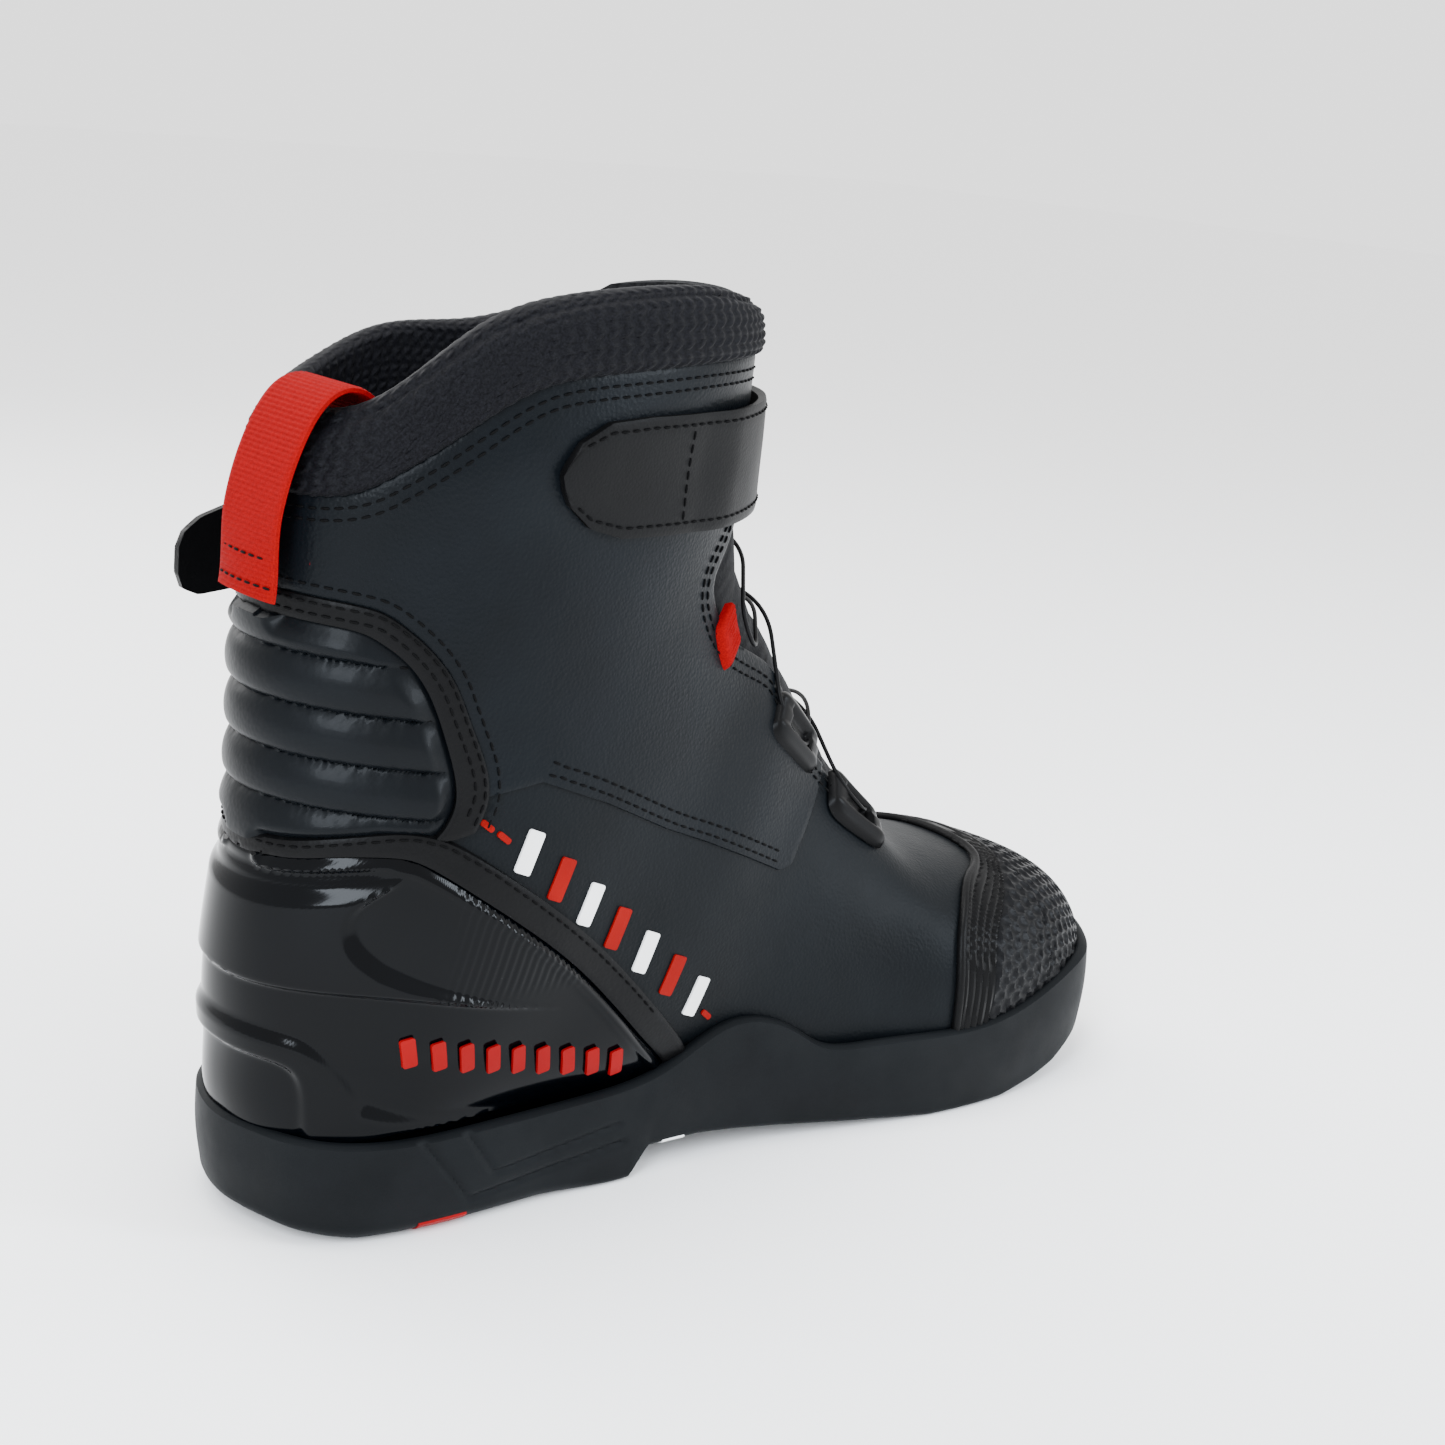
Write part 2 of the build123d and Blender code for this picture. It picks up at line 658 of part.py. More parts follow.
band_bars = row_of_marks(BAND_START, BAND_STEP, BAND_BARS, BAND_BAR, BAND_LEAN)
band_dashes = [(place, BAND_DASH, BAND_DASH_LEAN) for place in BAND_DASHES]
side_marks_white = slanted_marks(band_bars[0::2], mark_layer)
side_marks_red = slanted_marks(band_bars[1::2] + band_dashes, mark_layer)
counter_marks = slanted_marks(
    row_of_marks(COUNTER_START, COUNTER_STEP, COUNTER_BARS, COUNTER_BAR, COUNTER_LEAN),
    raised_mark_layer,
)

# ---- strap ----------------------------------------------------------------------------

STRAP_HINGE_Y = 37.0
anchor_layer = layer(OVERLAY_SKIN, ANCHOR_SKIN)
strap_layer = layer(STRAP_INNER_SKIN, STRAP_OUTER_SKIN)
loop_layer = layer(OVERLAY_SKIN, LOOP_TAPE_SKIN)
hook_layer = layer(HOOK_TAPE_SKIN, STRAP_INNER_SKIN)

with BuildPart() as strap_anchor:
    add(anchor_layer)
    add(facet_prism(ANCHOR_OUTLINE, INNER_SIDE), mode=Mode.INTERSECT)

strap_outline = side_prism(STRAP_TOP, STRAP_BOTTOM)
STRAP_BAND_END = 98.0
STRAP_TIP_FACE = 45.6
STRAP_TIP_START = 92.0
TIP_OUTLINE = ((STRAP_TIP_START, 192), (118, 177), (136, 171), (140, 165), (140, 157),
               (136, 151), (118, 153), (STRAP_TIP_START, 160))
with BuildPart() as strap:
    add(strap_layer)
    add(strap_outline, mode=Mode.INTERSECT)
    with BuildSketch(Plane.YZ.offset(-REACH)):
        with Locations((STRAP_HINGE_Y + 2 * REACH, 195)):
            Rectangle(4 * REACH, 2 * REACH)
    extrude(amount=REACH, mode=Mode.SUBTRACT)
    with BuildSketch(Plane.YZ):
        with Locations((STRAP_BAND_END + REACH, 195)):
            Rectangle(2 * REACH, 2 * REACH)
    extrude(amount=REACH, mode=Mode.SUBTRACT)
    with BuildSketch(Plane.YZ.offset(STRAP_TIP_FACE)):
        with BuildLine():
            Polyline(*TIP_OUTLINE, close=True)
        make_face()
    extrude(amount=STRAP_OUTER_SKIN - STRAP_INNER_SKIN)

TAPE_OUTLINE = ((40, 202), (62, 198), (95, 184), (95, 165), (62, 177), (40, 184))
with BuildPart() as loop_tape:
    add(loop_layer)
    add(facet_prism(TAPE_OUTLINE, OUTER_SIDE), mode=Mode.INTERSECT)

with BuildPart() as hook_tape:
    add(hook_layer)
    add(facet_prism(TAPE_OUTLINE, OUTER_SIDE), mode=Mode.INTERSECT)

# ---- pull loop ------------------------------------------------------------------------

LOOP_ROUTE = (
    (151, 158), (147.5, 186), (143.5, 205), (138, 217), (130, 221.5), (122.5, 218),
    (119.5, 207), (124, 192), (135.5, 179),
)
LOOP_BENDS = (60, 40, 8, 8, 8, 12, 15)
with BuildPart() as pull_loop:
    with BuildLine() as loop_path:
        FilletPolyline(*((LOOP_X, y, z) for y, z in LOOP_ROUTE), radius=LOOP_BENDS)
    with BuildSketch(Plane(origin=loop_path.line @ 0, x_dir=(1, 0, 0), z_dir=loop_path.line % 0)):
        Rectangle(LOOP_WIDTH, LOOP_THICKNESS)
    sweep()
    for neighbour in (rear_rib_pad, quarter_medial, quarter_lateral, collar_medial, collar_lateral, lining):
        add(neighbour.part, mode=Mode.SUBTRACT)

# ---- lace, guides and dial ------------------------------------------------------------

lean = math.radians(DIAL_LEAN)
dial_axis = Vector(math.cos(lean), -math.sin(lean), 0)
dial_origin = Vector(41.5, DIAL_Y, DIAL_Z)
dial_plane = Plane(origin=dial_origin, x_dir=(0, 0, 1), z_dir=dial_axis)


def dial_port(rise, reach):
    """A point in front of the dial, at the level of its cable ports."""
    forward = Vector(-math.sin(lean), -math.cos(lean), 0)
    return dial_origin + dial_axis * PORT_LEVEL + forward * reach + Vector(0, 0, rise)


# Lace points: station on the form, angle from the instep, height above the skin.
LACE_ROUTE = (
    (11.7, 30, 6.6), (11.6, 10, 5.6), (11.3, -12, 5.0),
    (11.3, -38, 5.6), (10.4, -38, 5.6),
    (10.2, -14, 3.8), (9.9, 12, 3.8),
    (9.4, 40, 5.6), (8.4, 40, 5.6),
    (8.2, 14, 3.8), (7.9, -12, 3.8),
    (7.5, -38, 5.6), (6.6, -38, 5.6),
    (6.5, -14, 4.2), (6.5, 14, 4.2),
    (6.6, 38, 5.6), (7.5, 38, 5.6),
    (7.8, 12, 6.2), (8.1, -14, 6.0),
    (8.4, -42, 5.6), (9.3, -42, 5.6),
    (9.8, -14, 6.2), (10.1, 10, 6.2), (10.6, 32, 6.6),
)
lace_points = (
    [dial_port(PORT_RISE, PORT_NEAR), dial_port(PORT_RISE, PORT_FAR)]
    + [skin_point(*place) for place in LACE_ROUTE]
    + [dial_port(-PORT_RISE, PORT_FAR), dial_port(-PORT_RISE, PORT_NEAR)]
)
BEND_SHARE = 0.45


def bend_radii(points):
    """The largest arc that each corner leaves room for."""
    radii = []
    for before, here, after in zip(points, points[1:], points[2:]):
        turn = math.radians((here - before).get_angle(after - here))
        shorter = min((here - before).length, (after - here).length)
        radii.append(BEND_SHARE * shorter / math.tan(turn / 2))
    return radii


lace_radii = bend_radii(lace_points)
print("lace radii", [round(radius, 1) for radius in lace_radii])
with BuildPart() as lace:
    with BuildLine() as lace_path:
        FilletPolyline(*lace_points, radius=lace_radii)
    with BuildSketch(Plane(origin=lace_path.line @ 0, z_dir=lace_path.line % 0)):
        Circle(CABLE_RADIUS)
    sweep()
with BuildPart() as lace_channel:
    with BuildLine() as channel_path:
        FilletPolyline(*lace_points, radius=lace_radii)
    with BuildSketch(Plane(origin=channel_path.line @ 0, z_dir=channel_path.line % 0)):
        Circle(CHANNEL_RADIUS)
    sweep()
lace_length = lace_path.wire().length
print("lace length", round(lace_length, 1))
print("lace volume over section times length",
      round(lace.part.volume / (math.pi * CABLE_RADIUS**2 * lace_length), 4))

guide_layer = layer(OVERLAY_SKIN, GUIDE_SKIN)


def lace_guide(station, angle, length):
    """A block on the edge of the lacing gap, drilled for the lace that turns back in it."""
    place = skin_plane(station, angle, OVERLAY_SKIN)
    with BuildPart() as guide:
        with BuildSketch(place.offset(GUIDE_FLOOR)):
            RectangleRounded(length, GUIDE_WIDTH, GUIDE_CORNER)
        extrude(amount=GUIDE_REACH)
        add(guide_layer, mode=Mode.INTERSECT)
        add(lace_channel.part, mode=Mode.SUBTRACT)
    return guide


webbing_guide_medial = lace_guide(10.85, -35, GUIDE_SHORT)
middle_guide_medial = lace_guide(8.85, -38, GUIDE_LONG)
lower_guide_medial = lace_guide(7.05, -34, GUIDE_SHORT)
middle_guide_lateral = lace_guide(8.9, 36, GUIDE_LONG)
lower_guide_lateral = lace_guide(7.05, 34, GUIDE_SHORT)

with BuildPart() as dial_housing:
    with BuildSketch(dial_plane.offset(HOUSING_FLOOR)):
        Circle(HOUSING_RADIUS)
    extrude(amount=HOUSING_TOP - HOUSING_FLOOR)
    with BuildSketch(dial_plane.offset(CHAMBER_FLOOR)):
        Circle(CHAMBER_RADIUS)
    extrude(amount=HOUSING_TOP, mode=Mode.SUBTRACT)
    add(FORMS[OVERLAY_SKIN], mode=Mode.SUBTRACT)
    add(lace_channel.part, mode=Mode.SUBTRACT)

with BuildPart() as dial_spool:
    with BuildSketch(dial_plane.offset(SPOOL_BOTTOM)):
        Circle(SPOOL_RADIUS)
    extrude(amount=SPOOL_FLANGE)
    with BuildSketch(dial_plane.offset(SPOOL_BOTTOM)):
        Circle(SPOOL_CORE_RADIUS)
    extrude(amount=SPOOL_TOP - SPOOL_BOTTOM)
    with BuildSketch(dial_plane.offset(SPOOL_TOP - SPOOL_FLANGE)):
        Circle(SPOOL_RADIUS)
    extrude(amount=SPOOL_FLANGE)
    with BuildSketch(dial_plane.offset(SPOOL_TOP)):
        RegularPolygon(POST_FLATS / 2, 6, major_radius=False)
    extrude(amount=POST_TOP - SPOOL_TOP)

with BuildPart() as dial_screw:
    with BuildSketch(dial_plane.offset(POST_TOP)):
        Circle(SCREW_HEAD_RADIUS)
    extrude(amount=SCREW_HEAD_HEIGHT)
    with BuildSketch(dial_plane.offset(POST_TOP + SCREW_HEAD_HEIGHT)):
        RegularPolygon(SCREW_KEY_RADIUS, 6)
    extrude(amount=-SCREW_KEY_DEPTH, mode=Mode.SUBTRACT)

with BuildPart() as dial_knob:
    with BuildSketch(dial_plane.offset(KNOB_BOTTOM)):
        Circle(KNOB_RADIUS)
        RegularPolygon(POST_FLATS / 2 + RUNNING_GAP, 6, major_radius=False, mode=Mode.SUBTRACT)
        with PolarLocations(KNOB_RADIUS + 0.4, KNOB_GRIPS):
            Circle(GRIP_RADIUS, mode=Mode.SUBTRACT)
    extrude(amount=KNOB_TOP - KNOB_BOTTOM)
    with BuildSketch(dial_plane.offset(KNOB_WEB)):
        Circle(KNOB_WELL_RADIUS)
    extrude(amount=KNOB_TOP, mode=Mode.SUBTRACT)

# ---- write the pieces -----------------------------------------------------------------

PIECES = {
    "outsole": outsole,
    "heel_tread_insert": heel_tread_insert,
    "arch_insert": arch_insert,
    "shank": shank,
    "insole_board": insole_board,
    "footbed": footbed,
    "lining": lining,
    "tongue": tongue,
    "tongue_gusset": tongue_gusset,
    "heel_stiffener": heel_stiffener,
    "toe_puff": toe_puff,
    "ankle_pad_medial": ankle_pad_medial,
    "ankle_pad_lateral": ankle_pad_lateral,
    "vamp": vamp,
    "quarter_medial": quarter_medial,
    "quarter_lateral": quarter_lateral,
    "collar_medial": collar_medial,
    "collar_lateral": collar_lateral,
    "shaft_panel_medial": shaft_panel_medial,
    "shaft_panel_lateral": shaft_panel_lateral,
    "rear_rib_pad": rear_rib_pad,
    "heel_counter": heel_counter,
    "counter_binding": counter_binding,
    "toe_cap": toe_cap,
    "toe_rib_band": toe_rib_band,
    "side_marks_white": side_marks_white,
    "side_marks_red": side_marks_red,
    "counter_marks": counter_marks,
    "strap_anchor": strap_anchor,
    "strap": strap,
    "hook_tape": hook_tape,
    "loop_tape": loop_tape,
    "pull_loop": pull_loop,
    "lace": lace,
    "webbing_guide_medial": webbing_guide_medial,
    "middle_guide_medial": middle_guide_medial,
    "lower_guide_medial": lower_guide_medial,
    "middle_guide_lateral": middle_guide_lateral,
    "lower_guide_lateral": lower_guide_lateral,
    "dial_housing": dial_housing,
    "dial_spool": dial_spool,
    "dial_screw": dial_screw,
    "dial_knob": dial_knob,
}
os.makedirs("parts", exist_ok=True)
for name, piece in PIECES.items():
    piece.part.label = name
    export_step(piece.part, f"parts/{name}.step")
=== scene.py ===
import bpy
import math
import numpy as np
from mathutils import Matrix, Vector, kdtree


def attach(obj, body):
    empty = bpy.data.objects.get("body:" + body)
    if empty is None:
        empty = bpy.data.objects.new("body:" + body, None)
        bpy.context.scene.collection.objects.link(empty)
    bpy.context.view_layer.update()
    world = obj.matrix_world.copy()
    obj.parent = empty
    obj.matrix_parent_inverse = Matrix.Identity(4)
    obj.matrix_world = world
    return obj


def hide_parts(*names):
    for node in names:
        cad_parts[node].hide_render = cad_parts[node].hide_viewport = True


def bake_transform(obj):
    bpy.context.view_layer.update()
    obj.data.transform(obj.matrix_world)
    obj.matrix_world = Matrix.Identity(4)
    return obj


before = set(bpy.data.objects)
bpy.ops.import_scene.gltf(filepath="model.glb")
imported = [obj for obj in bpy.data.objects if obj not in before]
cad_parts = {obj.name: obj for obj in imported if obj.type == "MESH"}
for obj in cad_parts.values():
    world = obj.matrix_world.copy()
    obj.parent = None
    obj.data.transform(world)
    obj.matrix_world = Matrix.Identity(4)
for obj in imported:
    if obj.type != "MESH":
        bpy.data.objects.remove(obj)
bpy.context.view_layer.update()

MM = 0.001

# ---- camera, floor and light ----------------------------------------------------------

AZIMUTH = 228.2
ELEVATION = 15.9
ROLL = 5.5
DISTANCE = 0.650
TARGET = Vector((0.0, 0.0, 0.110))
LENS = 56.8
SENSOR = 36.0
SHIFT_X = 0.0193
SHIFT_Y = 0.0109
NEAREST = 0.01
FARTHEST = 20.0


def make_camera():
    """Camera behind the heel, on the inner side of the foot, turned a little about its axis."""
    a, e, r = (math.radians(value) for value in (AZIMUTH, ELEVATION, ROLL))
    back = Vector((math.sin(a) * math.cos(e), -math.cos(a) * math.cos(e), math.sin(e)))
    level = (-back).cross(Vector((0, 0, 1))).normalized()
    raised = level.cross(-back)
    right = math.cos(r) * level + math.sin(r) * raised
    up = -math.sin(r) * level + math.cos(r) * raised
    data = bpy.data.cameras.new("camera")
    data.lens = LENS
    data.sensor_width = SENSOR
    data.shift_x = SHIFT_X
    data.shift_y = SHIFT_Y
    data.clip_start = NEAREST
    data.clip_end = FARTHEST
    camera = bpy.data.objects.new("camera", data)
    bpy.context.collection.objects.link(camera)
    place = Matrix((right, up, back)).transposed().to_4x4()
    place.translation = TARGET + back * DISTANCE
    camera.matrix_world = place
    bpy.context.scene.camera = camera


make_camera()


FLOOR_SIZE = 12
SKY_STRENGTH = 2.0
LIGHT_AIM = (0, 0, 0.12)
WHITE = (1, 1, 1)
COOL = (0.82, 0.90, 1.0)
# name, place, size, watts and colour
LIGHTS = (
    ("key_left", (-0.55, 0.9, 0.75), (0.30, 0.9), 22, COOL),
    ("rim_right", (-0.9, -0.75, 0.6), (0.25, 0.8), 16, COOL),
    ("top", (0.1, 0.1, 1.2), (0.5, 0.5), 13, WHITE),
    ("far_side", (0.9, 0.2, 0.6), (0.6, 0.8), 6, WHITE),
)


def area_light(name, where, size, power, color):
    """Soft rectangular light aimed at the boot."""
    data = bpy.data.lights.new(name, "AREA")
    data.shape = "RECTANGLE"
    data.size, data.size_y = size
    data.energy = power
    data.color = color
    lamp = bpy.data.objects.new(name, data)
    bpy.context.collection.objects.link(lamp)
    lamp.location = where
    lamp.rotation_euler = (Vector(LIGHT_AIM) - Vector(where)).to_track_quat("-Z", "Y").to_euler()


def make_studio():
    """Plain pale floor, even white surroundings and four soft lights."""
    bpy.ops.mesh.primitive_plane_add(size=FLOOR_SIZE)
    floor = bpy.context.object
    floor.name = "floor"
    paint = bpy.data.materials.new("floor_white")
    paint.use_nodes = True
    shader = paint.node_tree.nodes["Principled BSDF"]
    shader.inputs["Base Color"].default_value = (0.96, 0.96, 0.96, 1)
    shader.inputs["Roughness"].default_value = 0.9
    floor.data.materials.append(paint)
    world = bpy.data.worlds.new("studio")
    bpy.context.scene.world = world
    world.use_nodes = True
    sky = world.node_tree.nodes["Background"]
    sky.inputs["Color"].default_value = (*WHITE, 1)
    sky.inputs["Strength"].default_value = SKY_STRENGTH
    for light in LIGHTS:
        area_light(*light)


make_studio()

# ---- the foot form --------------------------------------------------------------------

# Each row is one section of the foot, in millimetres, as in the CAD model: bottom y, z,
# top y, z, half width towards the inner and the outer side, height of the widest place,
# lower and upper roundness, centre x.
SECTIONS = (
    (-148, 26, -148, 35, 6, 6, 0.45, 2.4, 2.2, -8),
    (-145, 22, -145, 42, 15, 14, 0.45, 3.0, 2.2, -8),
    (-138, 19, -139, 52, 27, 24, 0.42, 3.2, 2.2, -7),
    (-122, 16, -124, 60, 40, 36, 0.40, 3.6, 2.3, -5),
    (-98, 14, -102, 66, 48, 45, 0.38, 3.8, 2.3, -2),
    (-68, 13, -71, 73, 50, 51, 0.35, 3.8, 2.2, 0),
    (-38, 13, -57, 85, 45, 50, 0.33, 3.6, 2.1, 1),
    (-5, 14, -45, 101, 40, 45, 0.33, 3.2, 2.0, 1),
    (30, 16, -33, 118, 37, 42, 0.36, 2.8, 2.0, 1),
    (65, 17, -20, 135, 38, 41, 0.40, 2.6, 2.0, 0),
    (98, 18, -9, 150, 38, 40, 0.43, 2.4, 2.0, 0),
    (129, 24, -2, 162, 39, 40, 0.45, 2.3, 2.0, 0),
    (145, 45, 1, 174, 39, 40, 0.46, 2.2, 2.0, 0),
    (146, 76, 2, 185, 38, 39, 0.48, 2.1, 2.0, 0),
    (142, 108, 3, 194, 38, 39, 0.50, 2.1, 2.0, 0),
    (141, 139, 5, 204, 39, 40, 0.50, 2.1, 2.1, 0),
    (141, 165, 7, 215, 40, 41, 0.50, 2.1, 2.2, 0),
    (140, 187, 8, 226, 42, 43, 0.50, 2.1, 2.2, 0),
    (136, 202, 10, 237, 42, 43, 0.50, 2.1, 2.2, 0),
    (134, 228, 12, 264, 42, 43, 0.50, 2.1, 2.2, 0),
)
STATIONS = 381       # grid rows from the toe to the top
HALF_TURN = 150      # grid columns from the instep to the sole line, on each side
FINE = 2400          # samples of one half section before it is spaced evenly

MEDIAL = -1
LATERAL = 1
BOTH = 0
SIDES = (MEDIAL, LATERAL)
SIDE_RANGE = {MEDIAL: (1.0, 2.0), LATERAL: (0.0, 1.0)}
SIDE_NAME = {MEDIAL: "medial", LATERAL: "lateral"}


def spline_rows(rows, count):
    """Natural cubic spline through rows of numbers, at evenly spaced places."""
    y = np.array(rows, float)
    n = len(y)
    system = np.eye(n)
    rhs = np.zeros_like(y)
    for i in range(1, n - 1):
        system[i, i - 1:i + 2] = (1, 4, 1)
        rhs[i] = 6 * (y[i + 1] - 2 * y[i] + y[i - 1])
    m = np.linalg.solve(system, rhs)
    u = np.linspace(0, n - 1, count)
    k = np.minimum(u.astype(int), n - 2)
    t = (u - k).reshape(-1, *([1] * (y.ndim - 1)))
    curve = (m[k] * (1 - t) ** 3 + m[k + 1] * t ** 3) / 6
    return curve + (y[k] - m[k] / 6) * (1 - t) + (y[k + 1] - m[k + 1] / 6) * t


def half_section(row, side):
    """Points and growth directions from the instep to the sole line on one side."""
    y0, z0, y1, z1, inner, outer, waist, low_round, high_round, centre = row
    length = math.hypot(y1 - y0, z1 - z0)
    turn = np.linspace(0, math.pi, FINE)
    power = 2 / np.where(np.cos(turn) >= 0, high_round, low_round)
    rise = np.sign(np.cos(turn)) * np.abs(np.cos(turn)) ** power
    width = np.abs(np.sin(turn)) ** power
    half = np.where(rise >= 0, (1 - waist) * length, waist * length)
    reach = inner if side == MEDIAL else outer
    x, h = width * reach, rise * half
    walked = np.concatenate(([0], np.cumsum(np.hypot(np.diff(x), np.diff(h)))))
    even = np.linspace(0, walked[-1], HALF_TURN + 1)
    rise = np.interp(even, walked, rise)
    width = np.interp(even, walked, width)
    half = np.where(rise >= 0, (1 - waist) * length, waist * length)
    along = waist * length + rise * half
    ey, ez = (y1 - y0) / length, (z1 - z0) / length
    points = np.stack([centre + side * width * reach, y0 + ey * along, z0 + ez * along], 1)
    growth = np.stack([side * width, ey * rise, ez * rise], 1)
    return points, growth


def build_form():
    """Grids of points and growth directions. Columns go round: instep, outer, sole, inner."""
    rows = spline_rows(SECTIONS, STATIONS)
    base, grow = [], []
    for row in rows:
        outer_points, outer_growth = half_section(row, LATERAL)
        inner_points, inner_growth = half_section(row, MEDIAL)
        base.append(np.concatenate([outer_points, inner_points[-2::-1]]))
        grow.append(np.concatenate([outer_growth, inner_growth[-2::-1]]))
    return np.array(base) * MM, np.array(grow) * MM


BASE, GROW = build_form()
COLUMNS = 2 * HALF_TURN


def sample(grid, u, v):
    """Bilinear reading. u runs 0 to 1 from toe to top, v runs 0 to 2 round the boot."""
    fu = np.clip(np.asarray(u, float), 0, 1) * (STATIONS - 1)
    fv = np.mod(np.asarray(v, float), 2) * HALF_TURN
    i = np.minimum(fu.astype(int), STATIONS - 2)
    j = np.minimum(fv.astype(int), COLUMNS - 1)
    a, b = (fu - i)[..., None], (fv - j)[..., None]
    low = grid[i, j] * (1 - b) + grid[i, j + 1] * b
    high = grid[i + 1, j] * (1 - b) + grid[i + 1, j + 1] * b
    return low * (1 - a) + high * a


def skin(u, v, height):
    """Points in metres at a height in millimetres above the form."""
    return sample(BASE, u, v) + sample(GROW, u, v) * np.asarray(height, float)[..., None]


def skin_frame(u, v, height):
    """Point, unit outward normal and the two surface directions."""
    du, dv = 0.002, 0.006
    here = skin(u, v, height)
    along = skin(u + du, v, height) - skin(u - du, v, height)
    around = skin(u, v + dv, height) - skin(u, v - dv, height)
    normal = np.cross(around, along)
    normal /= np.linalg.norm(normal, axis=-1, keepdims=True) + 1e-12
    return here, normal, along, around


def build_tree(columns, flat):
    """Search tree over part of the form, in 3D or in the side view."""
    points = BASE[:, columns] + GROW[:, columns] * 2
    tree = kdtree.KDTree(points.shape[0] * points.shape[1])
    for i in range(points.shape[0]):
        for k, j in enumerate(columns):
            x, y, z = points[i, k]
            tree.insert((0 if flat else x, y, z), i * (COLUMNS + 1) + j)
    tree.balance()
    return tree


SIDE_TREES = {
    LATERAL: build_tree(list(range(1, HALF_TURN)), True),
    MEDIAL: build_tree(list(range(HALF_TURN + 1, COLUMNS)), True),
}
SOLID_TREE = build_tree(list(range(COLUMNS)), False)


def locate_side(points, side, height=2.0):
    """(u, v) of side-view points (y, z) in mm on one side, and how far each one missed."""
    places = []
    for y, z in points:
        _, index, _ = SIDE_TREES[side].find((0, y * MM, z * MM))
        i, j = divmod(index, COLUMNS + 1)
        places.append((i / (STATIONS - 1), j / HALF_TURN))
    u, v = np.array(places).T
    goal = np.array(points) * MM
    low, high = SIDE_RANGE[side]
    for _ in range(6):
        here = skin(u, v, height)[:, 1:]
        du = (skin(u + 0.001, v, height) - skin(u - 0.001, v, height))[:, 1:] / 0.002
        dv = (skin(u, v + 0.003, height) - skin(u, v - 0.003, height))[:, 1:] / 0.006
        miss = goal - here
        a, b = (du * du).sum(1) + 1e-9, (dv * dv).sum(1) + 1e-9
        c = (du * dv).sum(1)
        p, q = (du * miss).sum(1), (dv * miss).sum(1)
        bottom = a * b - c * c + 1e-7
        u = np.clip(u + np.clip((b * p - c * q) / bottom, -0.02, 0.02), 0, 1)
        v = np.clip(v + np.clip((a * q - c * p) / bottom, -0.05, 0.05), low, high - 1e-9)
    miss = np.linalg.norm(goal - skin(u, v, height)[:, 1:], axis=1) / MM
    return u, v, miss


def locate(points, height=2.0):
    """(u, v) of the form point nearest each 3D point, in metres."""
    u, v = [], []
    for point in points:
        _, index, _ = SOLID_TREE.find(point)
        i, j = divmod(index, COLUMNS + 1)
        u.append(i / (STATIONS - 1))
        v.append(j / HALF_TURN)
    u, v = np.array(u), np.array(v)
    for _ in range(3):
        here, _, along, around = skin_frame(u, v, height)
        miss = points - here
        a, b = (along ** 2).sum(1) + 1e-12, (around ** 2).sum(1) + 1e-12
        u = np.clip(u + (miss * along).sum(1) / a * 0.004, 0, 1)
        v = v + (miss * around).sum(1) / b * 0.012
    return u, v


# ---- lines in the side view -----------------------------------------------------------

def smooth(points, step=1.0):
    """Dense smooth line through side-view points, in millimetres."""
    points = np.array(points, float)
    line = spline_rows(points, max(8, 24 * len(points)))
    return even(line, step)


def even(line, step=1.0):
    """The same line with evenly spaced points."""
    line = np.array(line, float)
    walked = np.concatenate(([0], np.cumsum(np.linalg.norm(np.diff(line, axis=0), axis=1))))
    count = max(2, int(walked[-1] / step) + 1)
    places = np.linspace(0, walked[-1], count)
    return np.stack([np.interp(places, walked, line[:, k]) for k in range(line.shape[1])], 1)


def outline(*runs):
    """Closed side-view outline from runs that meet end to end."""
    loop = np.concatenate([np.array(run, float) for run in runs])
    return even(np.concatenate([loop, loop[:1]]), 1.0)


def inside(points, loop):
    """Which side-view points lie inside a closed outline."""
    y, z = points[..., 0], points[..., 1]
    hit = np.zeros(y.shape, bool)
    for (y0, z0), (y1, z1) in zip(loop, np.roll(loop, -1, axis=0)):
        if z0 == z1:
            continue
        crosses = (z0 > z) != (z1 > z)
        hit ^= crosses & (y < (y1 - y0) * (z - z0) / (z1 - z0) + y0)
    return hit


def line_distance(points, line):
    """Distance in millimetres from side-view points to an open line."""
    best = np.full(points.shape[:-1], 1e9)
    for start, end in zip(line[:-1], line[1:]):
        run = end - start
        share = np.clip(((points - start) @ run) / (run @ run + 1e-9), 0, 1)
        gap = points - start - share[..., None] * run
        best = np.minimum(best, np.einsum("...k,...k", gap, gap))
    return np.sqrt(best)


def step_up(x, width):
    """Smooth step from 0 to 1 over a width."""
    t = np.clip(x / width, 0, 1)
    return t * t * (3 - 2 * t)


# ---- meshes ---------------------------------------------------------------------------

def new_object(name, points, faces, material, sharp=35, uv=None):
    """Mesh object from arrays, smooth shaded with creases at sharp edges."""
    mesh = bpy.data.meshes.new(name)
    mesh.from_pydata([tuple(p) for p in points], [], [tuple(f) for f in faces])
    mesh.validate(clean_customdata=False)
    mesh.update()
    mesh.shade_smooth()
    mesh.set_sharp_from_angle(angle=math.radians(sharp))
    if uv is not None:
        layer = mesh.uv_layers.new(name="surface")
        corner = np.zeros(len(mesh.loops), int)
        mesh.loops.foreach_get("vertex_index", corner)
        layer.data.foreach_set("uv", np.asarray(uv)[corner].ravel())
    mesh.materials.append(material)
    piece = bpy.data.objects.new(name, mesh)
    bpy.context.collection.objects.link(piece)
    return piece


def grid_faces(rows, columns, first=0, closed=True):
    """Quads of a grid of points laid out row by row, closed across its columns or open."""
    faces = []
    for r in range(rows - 1):
        start = first + r * columns
        for k in range(columns if closed else columns - 1):
            a, b = start + k, start + (k + 1) % columns
            faces.append((a, b, b + columns, a + columns))
    return faces


